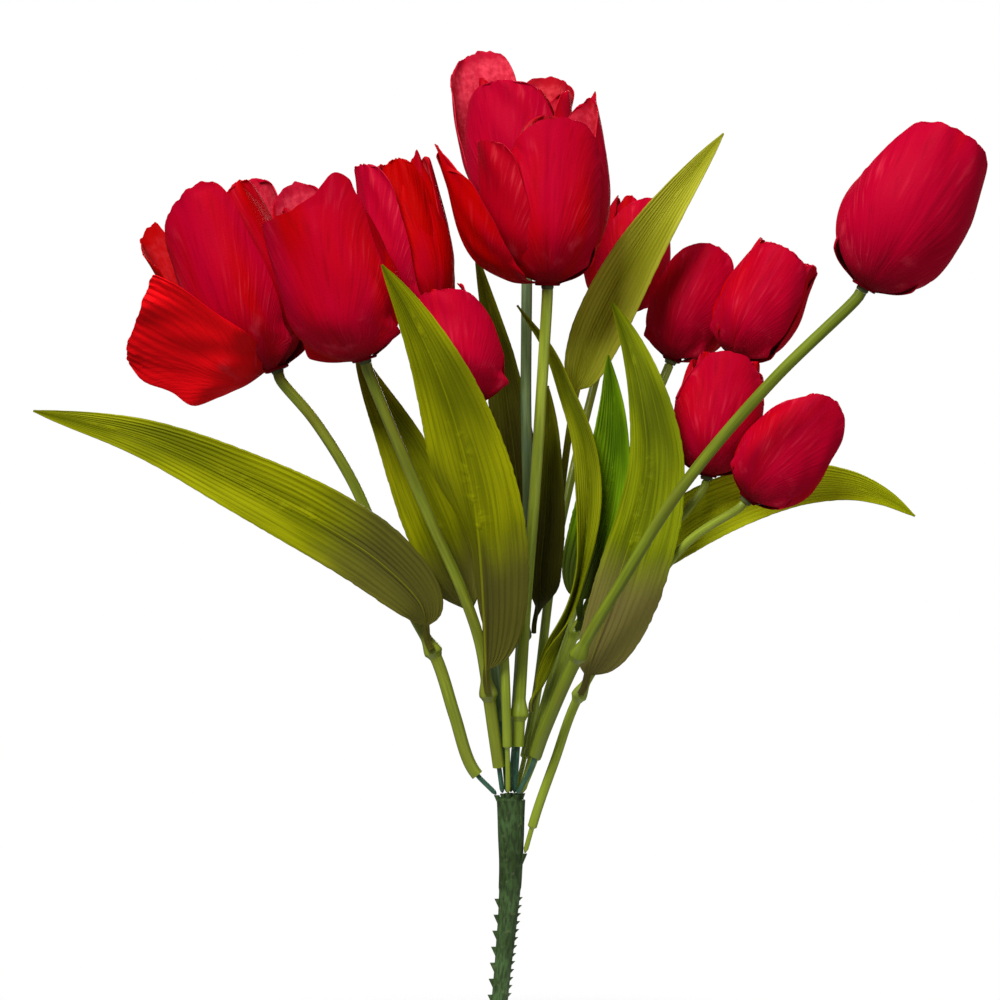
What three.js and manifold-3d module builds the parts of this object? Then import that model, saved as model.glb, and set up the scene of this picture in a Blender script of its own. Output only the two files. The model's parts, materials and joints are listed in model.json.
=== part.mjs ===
// A bush of silk tulips. A moulded stub holds twelve wire-cored stems: six carry full blooms, six carry buds,
// and ten strap leaves sit on collars along the stems.
// Millimetres, +Z up. The origin is the middle of the stub's flat lower end, and the bush's front faces -Y.

import * as THREE from "three";
import { mergeVertices } from "three/addons/utils/BufferGeometryUtils.js";
import Module from "manifold-3d";

const wasm = await Module();
wasm.setup();

// Driving dimensions
const CLEARANCE = 0.3; // left at every seat between two pieces

const STUB_LENGTH = 104;
const STUB_TOP_RADIUS = 5.4;
const STUB_END_RADIUS = 3;
const STUB_LEAN = 5.6; // how far the top stands to the side of the lower end
const BARB_HEIGHT = 1.4;
const BARB_PITCH = 3.2;
const BARB_THICKNESS = 1.4;
const BARBED_LENGTH = 68;
const PEG_LENGTH = 3; // each wire leaves the stub through a short moulded peg
const ROOT_RING_RADIUS = 3.7;
const CORE_RING_RADIUS = 1.4;

const WIRE_RADIUS = 1;
const SLEEVE_RADIUS = 2.5;
const BUD_STEM_RADIUS = 1.9;
const COLLAR_SWELL = 1.3; // how far a collar stands proud of its stem
const COLLAR_LENGTH = 7;

const CLOTH = 0.6; // stiffened petal cloth
const HUB_RADIUS = 5; // the disc in the middle of each die-cut set of petals
const INNER_HUB_RADIUS = 4.2;
const HUB_THICKNESS = 1; // cloth with its bead of glue
const FLANGE_THICKNESS = 1.2; // the pip's foot, which the petals sit on
const SOCKET_DEPTH = 8; // the blind hole that takes the wire's end

const BLOOM_LENGTH = 76;
const BLOOM_RADIUS = 23;
const INNER_RADIUS = 19.6;
const INNER_TIP = 0.7; // how far an inner tip stands from the axis, as a share of its radius
const PIP_RADIUS = 5.5;
const PIP_LENGTH = 26;

const BUD_LENGTH = 48;
const BUD_RADIUS = 17.5;
const BUD_INNER_RADIUS = 14;
const BUD_HUB_RADIUS = 4;
const BUD_CORE_RADIUS = 7.5;
const BUD_CORE_LENGTH = 32;

const LEAF_THICKNESS = 0.9;
const PETIOLE_WIDTH = 2.8;

// Counts of facets
const STEM_SIDES = 8;
const WIRE_SIDES = 6;
const STEM_STEP = 27; // the length of stem between two rings of facets
const LATHE_SIDES = 8;
const LEAF_ROWS = 10;

// Vectors and angles
const UP = new THREE.Vector3(0, 0, 1);
const vec = (p) => new THREE.Vector3(...p);
const rad = THREE.MathUtils.degToRad;
const lerp = THREE.MathUtils.lerp;

// The direction that leans by these angles, in degrees, towards +X and +Y.
function leaning([towardsX, towardsY]) {
  return new THREE.Vector3(Math.tan(rad(towardsX)), Math.tan(rad(towardsY)), 1).normalize();
}

// Materials
const finish = (color, roughness) => new THREE.MeshStandardMaterial({ color, roughness, metalness: 0 });
const STUB_PLASTIC = finish(0x2f5a38, 0.6);
const WIRE_COAT = finish(0x2c5236, 0.5);
const SLEEVE_PLASTIC = finish(0x86962c, 0.4);
const BUD_STEM_PLASTIC = finish(0x6f8a35, 0.45);
const OUTER_SILK = finish(0xc4061f, 0.65);
const INNER_SILK = finish(0xa8041a, 0.7);
const PIP_PLASTIC = finish(0x4e5a20, 0.6);
const LEAF_CLOTH = finish(0x6d7a12, 0.6);

// Closed surfaces

function indexed(points, triangles) {
  const geometry = new THREE.BufferGeometry().setFromPoints(points);
  return geometry.setIndex(triangles);
}

// A skin over rings of equally many points. It closes on itself, or ends in two flat caps.
function skin(rings, closesOnItself) {
  const count = rings[0].length;
  const points = rings.flat();
  const triangles = [];
  const at = (i, j) => (i % rings.length) * count + (j % count);
  const spans = closesOnItself ? rings.length : rings.length - 1;
  for (let i = 0; i < spans; i++) {
    for (let j = 0; j < count; j++) {
      triangles.push(at(i, j), at(i, j + 1), at(i + 1, j + 1));
      triangles.push(at(i, j), at(i + 1, j + 1), at(i + 1, j));
    }
  }
  if (!closesOnItself) {
    const last = rings.length - 1;
    for (let j = 1; j < count - 1; j++) {
      triangles.push(at(0, 0), at(0, j + 1), at(0, j));
      triangles.push(at(last, 0), at(last, j), at(last, j + 1));
    }
  }
  return indexed(points, triangles);
}

// A grid of points given a thickness, half to each side, with its edges closed.
function thickened(grid, thickness) {
  const rows = grid.length;
  const columns = grid[0].length;
  const clampRow = (i) => Math.min(Math.max(i, 0), rows - 1);
  const clampColumn = (j) => Math.min(Math.max(j, 0), columns - 1);
  const normalAt = (i, j) => {
    const along = grid[clampRow(i + 1)][j].clone().sub(grid[clampRow(i - 1)][j]);
    const across = grid[i][clampColumn(j + 1)].clone().sub(grid[i][clampColumn(j - 1)]);
    return along.cross(across).normalize();
  };
  const side = (sign) =>
    grid.flatMap((row, i) =>
      row.map((p, j) => p.clone().addScaledVector(normalAt(i, j), (sign * thickness) / 2)),
    );
  const points = [...side(1), ...side(-1)];
  const at = (i, j) => i * columns + j;
  const below = rows * columns;
  const triangles = [];
  for (let i = 0; i < rows - 1; i++) {
    for (let j = 0; j < columns - 1; j++) {
      const [a, b, c, d] = [at(i, j), at(i + 1, j), at(i + 1, j + 1), at(i, j + 1)];
      triangles.push(a, b, c, a, c, d);
      triangles.push(below + a, below + c, below + b, below + a, below + d, below + c);
    }
  }
  const rim = [];
  for (let i = 0; i < rows - 1; i++) rim.push(at(i, 0));
  for (let j = 0; j < columns - 1; j++) rim.push(at(rows - 1, j));
  for (let i = rows - 1; i > 0; i--) rim.push(at(i, columns - 1));
  for (let j = columns - 1; j > 0; j--) rim.push(at(0, j));
  rim.forEach((from, k) => {
    const to = rim[(k + 1) % rim.length];
    triangles.push(to, from, below + from, to, below + from, below + to);
  });
  return indexed(points, triangles);
}

// A ring of points round a centre, in the plane of two directions.
function ring(centre, first, second, radius, sides) {
  return Array.from({ length: sides }, (_, j) => {
    const turn = (2 * Math.PI * j) / sides;
    return centre
      .clone()
      .addScaledVector(first, radius * Math.cos(turn))
      .addScaledVector(second, radius * Math.sin(turn));
  });
}

// The rings of a tube along a curve at these distances, turned as little as the curve allows.
function tubeRings(curve, stations, radiusAt, sides) {
  const length = curve.getLength();
  let first = new THREE.Vector3(1, 0, 0);
  return stations.map((distance) => {
    const along = THREE.MathUtils.clamp(distance / length, 0, 1);
    const tangent = curve.getTangentAt(along);
    first = first.clone().addScaledVector(tangent, -first.dot(tangent)).normalize();
    const second = tangent.clone().cross(first);
    return ring(curve.getPointAt(along), first, second, radiusAt(distance), sides);
  });
}

// Booleans

function solid(geometry) {
  const bare = geometry.clone();
  bare.deleteAttribute("normal");
  bare.deleteAttribute("uv");
  const merged = mergeVertices(bare, 1e-4);
  return new wasm.Manifold(
    new wasm.Mesh({
      numProp: 3,
      vertProperties: merged.attributes.position.array,
      triVerts: new Uint32Array(merged.index.array),
    }),
  );
}

function geometryOf(manifold) {
  const { vertProperties, triVerts } = manifold.getMesh();
  const geometry = new THREE.BufferGeometry();
  geometry.setAttribute("position", new THREE.BufferAttribute(vertProperties, 3));
  return geometry.setIndex(new THREE.BufferAttribute(triVerts, 1));
}

const joined = (geometries) => geometryOf(geometries.map(solid).reduce((whole, piece) => whole.add(piece)));

// Pieces go into one group, each under its own name
const bush = new THREE.Group();

function piece(name, geometry, material, parent = bush) {
  const mesh = new THREE.Mesh(geometry, material);
  mesh.name = name;
  parent.add(mesh);
}

// Stub: a tapered moulding whose sides carry rows of barbs

const stubCentre = (z) => {
  const rise = THREE.MathUtils.smoothstep(z, 0, 0.8 * STUB_LENGTH);
  return new THREE.Vector3(STUB_LEAN * rise, 0, z);
};
const stubRadius = (z) => lerp(STUB_END_RADIUS, STUB_TOP_RADIUS, Math.pow(z / STUB_LENGTH, 1.3));
const X_AXIS = new THREE.Vector3(1, 0, 0);
const Y_AXIS = new THREE.Vector3(0, 1, 0);

function stubTrunk() {
  const rings = 9;
  const sides = 12;
  const crown = 1.5;
  const levels = Array.from({ length: rings }, (_, i) => (STUB_LENGTH * i) / (rings - 1));
  const stack = levels.map((z) => ring(stubCentre(z), X_AXIS, Y_AXIS, stubRadius(z), sides));
  const crownCentre = stubCentre(STUB_LENGTH).setZ(STUB_LENGTH + crown);
  stack.push(ring(crownCentre, X_AXIS, Y_AXIS, STUB_TOP_RADIUS - crown, sides));
  return skin(stack, false);
}

// One barb is a saw tooth whose point is at its upper end.
function barb(z, side, height, pitch) {
  const root = stubRadius(z) - 1;
  const tooth = new THREE.Shape();
  tooth.moveTo(0, 0);
  tooth.lineTo(1 + height, 0.8 * pitch);
  tooth.lineTo(0, 0.8 * pitch);
  const geometry = new THREE.ExtrudeGeometry(tooth, { depth: BARB_THICKNESS, bevelEnabled: false });
  geometry.translate(root, 0, -BARB_THICKNESS / 2).rotateX(Math.PI / 2);
  if (side < 0) geometry.rotateZ(Math.PI);
  const centre = stubCentre(z);
  return geometry.translate(centre.x, centre.y, z);
}

function stubBarbs() {
  const first = 5;
  const fine = Math.floor((BARBED_LENGTH - first) / BARB_PITCH);
  const barbs = [];
  for (let k = 0; k < fine; k++) {
    barbs.push(barb(first + k * BARB_PITCH, 1, BARB_HEIGHT, BARB_PITCH));
    if (k % 2) barbs.push(barb(first + k * BARB_PITCH, -1, BARB_HEIGHT, 2 * BARB_PITCH));
  }
  return barbs;
}

// Stems

// Where a stem leaves the stub's top: a place on the outer or the core ring of wires, at an angle from +X.
function root(ringRadius, angle) {
  const turn = rad(angle);
  const centre = stubCentre(STUB_LENGTH);
  return centre.add(new THREE.Vector3(ringRadius * Math.cos(turn), ringRadius * Math.sin(turn), 0));
}

// A low stem leaves the stub's side instead.
const lowRoot = (z) => stubCentre(z).add(new THREE.Vector3(stubRadius(z), -1, 0));

// A stem's line runs from its root over its waypoints, then straight along its flower's axis into the pip.
function stemCurve(flower) {
  const axis = leaning(flower.lean);
  const base = vec(flower.base);
  const straight = 6;
  const points = [
    flower.root,
    ...flower.path.map(vec),
    base.clone().addScaledVector(axis, -straight),
    base,
    base.clone().addScaledVector(axis, SOCKET_DEPTH - CLEARANCE),
  ];
  return new THREE.CatmullRomCurve3(points, false, "centripetal");
}

// Distances along a stem where its facets turn, with more of them round its collar.
function stations(from, to, collar) {
  const steps = Math.ceil((to - from) / STEM_STEP);
  const even = Array.from({ length: steps + 1 }, (_, i) => lerp(from, to, i / steps));
  if (!collar) return even;
  const half = COLLAR_LENGTH / 2;
  const swell = [collar - half, collar - 0.5 * half, collar + 0.2 * half, collar + half];
  const clear = even.filter((d) => d === from || d === to || Math.abs(d - collar) > COLLAR_LENGTH);
  return [...clear, ...swell].sort((a, b) => a - b);
}

// A collar swells from its stem below its middle, and tapers off above it.
function collaredRadius(plain, collar) {
  const half = COLLAR_LENGTH / 2;
  return (d) => plain + (collar && d > collar - half + 0.01 && d < collar + half - 0.01 ? COLLAR_SWELL : 0);
}

// A bloom's stem is a coated wire in a loose sleeve; the wire's foot shows below the sleeve.
function sleevedStem(flower) {
  const curve = stemCurve(flower);
  const wireEnd = curve.getLength();
  const sleeveEnd = wireEnd - (SOCKET_DEPTH - CLEARANCE) - CLEARANCE;
  const shared = stations(flower.sleeveStart, sleeveEnd, flower.collar);
  const outer = tubeRings(curve, shared, collaredRadius(SLEEVE_RADIUS, flower.collar), STEM_SIDES);
  const bore = tubeRings(curve, shared, () => WIRE_RADIUS + 1.4 * CLEARANCE, STEM_SIDES);
  piece(flower.name + "_sleeve", skin([...outer, ...bore.reverse()], true), SLEEVE_PLASTIC);
  const wireStations = [PEG_LENGTH + CLEARANCE, ...shared, wireEnd];
  const wire = tubeRings(curve, wireStations, () => WIRE_RADIUS, WIRE_SIDES);
  piece(flower.name + "_wire", skin(wire, false), WIRE_COAT);
}

// A bud's stem is one coated wire, thin at its foot and in the pip.
function budStem(flower) {
  const curve = stemCurve(flower);
  const end = curve.getLength();
  const shoulder = end - (SOCKET_DEPTH - CLEARANCE) - CLEARANCE;
  const thick = stations(flower.sleeveStart, shoulder, flower.collar);
  const swollen = collaredRadius(BUD_STEM_RADIUS, flower.collar);
  const thin = (d) => (d < flower.sleeveStart || d > shoulder ? WIRE_RADIUS : swollen(d));
  const step = 0.05;
  const all = [PEG_LENGTH + CLEARANCE, flower.sleeveStart - step, ...thick, shoulder + step, end];
  piece(flower.name + "_stem", skin(tubeRings(curve, all, thin, STEM_SIDES), false), BUD_STEM_PLASTIC);
}

// The peg that a wire leaves the stub through, rooted in the trunk.
function peg(flower) {
  const curve = stemCurve(flower);
  const start = curve.getTangentAt(0);
  const rings = tubeRings(curve, [0, PEG_LENGTH], () => WIRE_RADIUS, WIRE_SIDES);
  const rooted = rings[0].map((p) => p.clone().addScaledVector(start, -PEG_LENGTH));
  return skin([rooted, ...rings], false);
}

// Flowers

const NECK_RADIUS = WIRE_RADIUS + CLEARANCE + 1.1;
const HOLE_RADIUS = NECK_RADIUS + CLEARANCE;

// A set of petals is shaped on a cup, turned from this outline: out from the hub, up the side, in to the tip.
function cupOutline({ hub, radius, length, tip }) {
  return new THREE.SplineCurve([
    new THREE.Vector2(hub - 1, 0),
    new THREE.Vector2(0.7 * radius, 0.08 * length),
    new THREE.Vector2(0.96 * radius, 0.27 * length),
    new THREE.Vector2(radius, 0.5 * length),
    new THREE.Vector2(lerp(radius, tip * radius, 0.55), 0.8 * length),
    new THREE.Vector2(tip * radius, length),
  ]);
}

// Half the angle that a petal takes of its cup, from 0 at its hub to 1 at its tip, as a share of its widest.
function petalSpread(s) {
  const widest = 0.55;
  if (s < widest) return lerp(0.62, 1, s / widest);
  const rest = (s - widest) / (1 - widest);
  return Math.max(0.2, Math.sqrt(1 - Math.pow(rest, 2.4)));
}

// One petal of the cup, leaned out about its hub's rim, twisted about its own length and turned to its place.
function petal(shape) {
  const outline = cupOutline({ ...shape, length: shape.length * shape.share });
  const swing = rad(shape.lean);
  const ownAxis = new THREE.Vector3(Math.sin(swing), 0, Math.cos(swing));
  const rim = new THREE.Vector3(shape.hub, 0, 0);
  const grid = [];
  for (let i = 0; i <= shape.rows; i++) {
    const s = i / shape.rows;
    const { x: out, y: up } = outline.getPoint(s);
    const half = rad(shape.spread) * petalSpread(s);
    const twist = rad(shape.twist) * THREE.MathUtils.smoothstep(s, 0, 0.35);
    const row = [];
    for (let j = 0; j <= shape.columns; j++) {
      const angle = half * ((2 * j) / shape.columns - 1);
      const reach = out * Math.cos(angle) - shape.hub;
      const free = reach > 0 ? swing : 0;
      const leaned = reach * Math.cos(free) + up * Math.sin(free);
      const height = up * Math.cos(free) - reach * Math.sin(free);
      const place = new THREE.Vector3(leaned, out * Math.sin(angle), height).applyAxisAngle(ownAxis, twist);
      row.push(place.add(rim).setZ(place.z + shape.raise));
    }
    grid.push(row);
  }
  return thickened(grid, CLOTH).rotateZ(rad(shape.turn));
}

// Petals and their hub are cut from one sheet, so they are one piece with a hole for the pip's neck.
function petalSet(petals, hubRadius, hubThickness, height) {
  const disc = new THREE.CylinderGeometry(hubRadius, hubRadius, hubThickness, LATHE_SIDES);
  const drill = new THREE.CylinderGeometry(HOLE_RADIUS, HOLE_RADIUS, 2 * hubThickness, LATHE_SIDES);
  const hub = solid(disc.rotateX(Math.PI / 2));
  const whole = petals.map(petal).map(solid).reduce((set, one) => set.add(one), hub);
  return geometryOf(whole.subtract(solid(drill.rotateX(Math.PI / 2)))).translate(0, 0, height);
}

// The pip stands on its foot, holds the petals by its neck and takes the wire in a blind socket.
function pip({ foot, grip, radius, length }) {
  const socket = WIRE_RADIUS + CLEARANCE;
  const belly = grip + 0.35 * (length - grip);
  const profile = [
    [0, SOCKET_DEPTH],
    [socket, SOCKET_DEPTH],
    [socket, 0],
    [foot, 0],
    [foot, FLANGE_THICKNESS],
    [NECK_RADIUS, FLANGE_THICKNESS],
    [NECK_RADIUS, grip],
    [HOLE_RADIUS + 0.6, grip],
    [radius, belly],
    [0.7 * radius, lerp(belly, length, 0.65)],
    [0, length],
  ].map(([r, z]) => new THREE.Vector2(r, z));
  return new THREE.LatheGeometry(profile, LATHE_SIDES).rotateX(Math.PI / 2);
}

// A flower's own frame: its origin where the pip's foot meets the stem, its axis along +Z.
function flowerFrame(flower) {
  const frame = new THREE.Group();
  frame.position.fromArray(flower.base);
  frame.quaternion.setFromUnitVectors(UP, leaning(flower.lean));
  bush.add(frame);
  return frame;
}

// Each petal of a set has its own turn about the axis, lean away from it, share of the length and twist, and may be
// cut broader than the rest.
function each(places, shape) {
  return places.map(([turn, lean, share = 1, twist = 0, broader = 1]) => {
    return { ...shape, turn, lean, share, twist, spread: broader * shape.spread };
  });
}

function bloom(flower) {
  const frame = flowerFrame(flower);
  const cut = { spread: 57, raise: 0, rows: 5, columns: 4 };
  const outerCup = { hub: HUB_RADIUS, radius: flower.girth * BLOOM_RADIUS, length: BLOOM_LENGTH };
  const innerLength = 0.97 * BLOOM_LENGTH;
  const innerCup = { hub: INNER_HUB_RADIUS, radius: flower.girth * INNER_RADIUS, length: innerLength };
  const outer = { ...cut, ...outerCup, tip: flower.tip };
  const inner = { ...cut, ...innerCup, tip: INNER_TIP };
  const outerHeight = FLANGE_THICKNESS + CLEARANCE + HUB_THICKNESS / 2;
  const innerHeight = outerHeight + HUB_THICKNESS + CLEARANCE;
  const grip = innerHeight + HUB_THICKNESS / 2 + CLEARANCE;
  const core = { foot: HUB_RADIUS - 1, grip, radius: PIP_RADIUS, length: PIP_LENGTH };
  piece(flower.name + "_pip", pip(core), PIP_PLASTIC, frame);
  const outerSet = petalSet(each(flower.outer, outer), HUB_RADIUS, HUB_THICKNESS, outerHeight);
  piece(flower.name + "_outer_petals", outerSet, OUTER_SILK, frame);
  const innerSet = petalSet(each(flower.inner, inner), INNER_HUB_RADIUS, HUB_THICKNESS, innerHeight);
  piece(flower.name + "_inner_petals", innerSet, INNER_SILK, frame);
}

// A bud's petals are one six-lobed cut with a folded hub: three lobes leave it low, three high and inside.
function bud(flower) {
  const frame = flowerFrame(flower);
  const hubThickness = 2.4 * HUB_THICKNESS;
  const lift = 0.6 * HUB_THICKNESS;
  const cut = { hub: BUD_HUB_RADIUS, tip: flower.tip, rows: 4, columns: 3 };
  const outer = { ...cut, radius: BUD_RADIUS, length: BUD_LENGTH, spread: 57, raise: -lift };
  const inner = { ...cut, radius: BUD_INNER_RADIUS, length: 0.97 * BUD_LENGTH, spread: 55, raise: lift };
  const middle = flower.outer[0][0] + 60;
  const insides = [0, 120, 240].map((turn) => [middle + turn, 0]);
  const height = FLANGE_THICKNESS + CLEARANCE + hubThickness / 2;
  const grip = height + hubThickness / 2 + CLEARANCE;
  const core = { foot: BUD_HUB_RADIUS, grip, radius: BUD_CORE_RADIUS, length: BUD_CORE_LENGTH };
  piece(flower.name + "_core", pip(core), PIP_PLASTIC, frame);
  const petals = [...each(flower.outer, outer), ...each(insides, inner)];
  piece(flower.name + "_petals", petalSet(petals, BUD_HUB_RADIUS, hubThickness, height), OUTER_SILK, frame);
}

// Leaves

// The width of one half of a strap leaf along its length: a petiole, a blunt start to the blade, a taper.
function leafHalfWidth(s, widest, petiole) {
  const blade = Math.max(0, (s - petiole) / (1 - petiole));
  const swell = Math.pow(Math.sin(Math.PI * Math.pow(blade, 0.58)), 0.75);
  const taper = (PETIOLE_WIDTH / 2) * (1 - blade);
  return Math.max(0.45, taper + widest * swell);
}

// A leaf's foot lies along the collar of its stem, on the side given.
function leafFoot({ on, side }) {
  const flower = STEMS.find((one) => one.name === on);
  const curve = stemCurve(flower);
  const along = flower.collar / curve.getLength();
  const tangent = curve.getTangentAt(along);
  const out = vec(side);
  out.addScaledVector(tangent, -out.dot(tangent)).normalize();
  const stem = BLOOMS.includes(flower) ? SLEEVE_RADIUS : BUD_STEM_RADIUS;
  const offset = stem + COLLAR_SWELL + CLEARANCE + LEAF_THICKNESS / 2;
  const foot = curve.getPointAt(along).addScaledVector(out, offset);
  return { foot, tangent, out };
}

// A leaf runs up beside its collar and then along its midrib. Its halves fold by their own angles towards the
// side that it faces; it turns from its foot to face the way of its blade, and again towards its tip.
function leaf({ name, on, side, midrib, halves, petiole = 0.06, folds, facing }) {
  const { foot, tangent: start, out } = leafFoot({ on, side });
  const lying = foot.clone().addScaledVector(start, COLLAR_LENGTH / 2);
  const curve = new THREE.CatmullRomCurve3([foot, lying, ...midrib.map(vec)], false, "centripetal");
  const [blade, tip] = facing.map((f) => vec(f).normalize());
  const footFace = out.clone().multiplyScalar(Math.sign(out.dot(blade)) || 1);
  const grid = [];
  for (let i = 0; i <= LEAF_ROWS; i++) {
    const s = i / LEAF_ROWS;
    const centre = curve.getPointAt(s);
    const tangent = curve.getTangentAt(s);
    const towards = footFace.clone().lerp(blade, THREE.MathUtils.smoothstep(s, 0.04, 0.3));
    towards.lerp(tip, THREE.MathUtils.smoothstep(s, 0.45, 1));
    const across = tangent.clone().cross(towards).normalize();
    const face = across.clone().cross(tangent);
    const row = [-1, -0.5, 0, 0.5, 1].map((share) => {
      const hand = share < 0 ? 0 : 1;
      const half = leafHalfWidth(s, halves[hand], petiole);
      const fold = rad(folds[hand]) * THREE.MathUtils.smoothstep(s, 0.04, 0.2);
      return centre
        .clone()
        .addScaledVector(across, half * share * Math.cos(fold))
        .addScaledVector(face, half * Math.abs(share) * Math.sin(fold));
    });
    grid.push(row);
  }
  piece(name, thickened(grid, LEAF_THICKNESS), LEAF_CLOTH);
}

// The bush's blooms, each with its stem's waypoints. Leans are in degrees: towards +X and +Y for a flower,
// outwards for each petal. A petal's place is its angle from +X about the flower's axis, then its own lean.
const BLOOMS = [
  {
    name: "bloom_1",
    base: [-87.2, -4, 274.4],
    lean: [-19, 2],
    girth: 1.03,
    tip: 0.85,
    outer: [[-103, 2], [35, 4, 0.98], [206, 47, 0.78, 62, 1.15]],
    inner: [[-40, 0], [80, 0], [166, 4, 0.92]],
    root: root(ROOT_RING_RADIUS, 180),
    path: [
      [-10, 0.5, 117], [-17, 0, 138], [-24, 0, 160], [-35, -1, 181],
      [-46.5, -2, 206], [-58, -3, 232], [-73, -3.6, 256],
    ],
    sleeveStart: 14,
    collar: 68,
  },
  {
    name: "bloom_2",
    base: [-51, -42, 277],
    lean: [-16, -4],
    girth: 1.02,
    tip: 0.75,
    outer: [[-106, 1, 0.96], [14, 3, 0.98], [134, 3, 0.96]],
    inner: [[-46, 0, 0.92], [74, 0, 0.98], [194, 0, 0.9]],
    root: root(ROOT_RING_RADIUS, 216),
    path: [[1, -4, 116], [-1, -6.5, 130], [-3.6, -9, 148], [-7, -12, 168], [-13, -16, 186], [-27, -24, 218]],
    sleeveStart: 14,
    collar: 45,
  },
  {
    name: "bloom_3",
    base: [-28, 0, 294],
    lean: [-9, 0],
    girth: 0.76,
    tip: 0.8,
    outer: [[-40, 0, 0.86], [84, 2, 0.86], [206, 4, 0.86]],
    inner: [[22, 0, 0.88], [142, 0, 0.86], [262, 0, 0.86]],
    root: root(CORE_RING_RADIUS, 200),
    path: [[2, -1, 130], [-2.5, -1, 170], [-11, -1, 215]],
    sleeveStart: 32,
    collar: 60,
  },
  {
    name: "bloom_4",
    base: [20, -14, 307.5],
    lean: [1, -2],
    girth: 1.02,
    tip: 0.75,
    outer: [[-86, 2, 0.88], [30, 1, 0.98], [196, 23, 0.82]],
    inner: [[-25, 0, 0.84], [95, 0, 0.9], [215, 0, 0.86]],
    root: root(CORE_RING_RADIUS, 320),
    path: [[7.8, -2, 118], [9.2, -4, 144], [11.6, -7, 184], [14.8, -9.5, 224]],
    sleeveStart: 22,
    collar: 36,
  },
  {
    name: "bloom_5",
    base: [12, 40, 336],
    lean: [-5, 2],
    girth: 0.96,
    tip: 0.95,
    outer: [[-108, 0, 0.74], [12, 0, 0.7], [122, 5, 0.98]],
    inner: [[-52, 0, 0.7], [62, 0, 0.85], [184, 0, 0.8]],
    root: root(CORE_RING_RADIUS, 100),
    path: [[6.2, 4.5, 118], [8.5, 9, 144], [11, 16.5, 184], [12.4, 24, 224], [11.8, 31, 264]],
    sleeveStart: 24,
    collar: 68,
  },
  {
    name: "bloom_6",
    base: [139, -74, 303.6],
    lean: [30, -6],
    girth: 1.01,
    tip: 0.65,
    outer: [[-100, 0, 0.91], [20, 0, 0.91], [140, 0, 0.91]],
    inner: [[-40, 0, 0.88], [80, 0, 0.88], [200, 0, 0.88]],
    root: root(ROOT_RING_RADIUS, 288),
    path: [[13, -8, 116], [19, -16, 133], [32, -28, 163], [48, -39, 191], [71, -51, 228], [106, -64, 270]],
    sleeveStart: 22,
    collar: 70,
  },
];

const BUDS = [
  {
    name: "bud_1",
    base: [-8.5, -33, 259],
    lean: [-15, 0],
    tip: 0.55,
    outer: [[-60, 0], [60, 0], [180, 0]],
    root: root(ROOT_RING_RADIUS, 252),
    path: [[4.2, -7, 122], [3, -12, 160], [0, -22, 205]],
    sleeveStart: 22,
  },
  {
    name: "bud_2",
    base: [48, 68, 301],
    lean: [15, 8],
    tip: 0.6,
    outer: [[-70, 0], [50, 0], [170, 0]],
    root: root(ROOT_RING_RADIUS, 72),
    path: [[11.2, 9, 121], [16.4, 18, 148], [22.4, 31, 194], [31.2, 44, 236]],
    sleeveStart: 18,
    collar: 98,
  },
  {
    name: "bud_3",
    base: [71, 45, 280],
    lean: [22, 5],
    tip: 0.55,
    outer: [[-110, 0], [10, 0], [130, 0]],
    root: root(ROOT_RING_RADIUS, 36),
    path: [[13.2, 5.5, 120], [21, 10, 148], [38, 23, 200], [55, 35, 243]],
    sleeveStart: 18,
  },
  {
    name: "bud_4",
    base: [95, 21, 280],
    lean: [29, 0],
    tip: 0.8,
    outer: [[-80, 3], [40, 3], [160, 0]],
    root: root(ROOT_RING_RADIUS, 0),
    path: [[14, 1.8, 118], [22.5, 5.5, 148], [45, 12, 200], [66, 18, 240]],
    sleeveStart: 18,
    collar: 72,
  },
  {
    name: "bud_5",
    base: [83.5, -3, 232],
    lean: [11, 0],
    tip: 0.85,
    outer: [[-85, 0], [35, 5], [155, 8, 0.72]],
    root: root(ROOT_RING_RADIUS, 324),
    path: [[14.5, -2.6, 118], [26, -2.8, 148], [45, -5, 180], [66, -5, 208]],
    sleeveStart: 18,
    collar: 88,
  },
  {
    name: "bud_6",
    base: [97, -30, 223],
    lean: [41, 0],
    tip: 0.62,
    outer: [[-95, 0], [25, 0], [145, 0]],
    root: lowRoot(80),
    path: [[16, -3.5, 100], [23, -6.5, 120], [32, -10, 145], [54, -16, 180], [76, -22, 208]],
    sleeveStart: 14,
    collar: 72,
  },
];

const STEMS = [...BLOOMS, ...BUDS];

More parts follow.
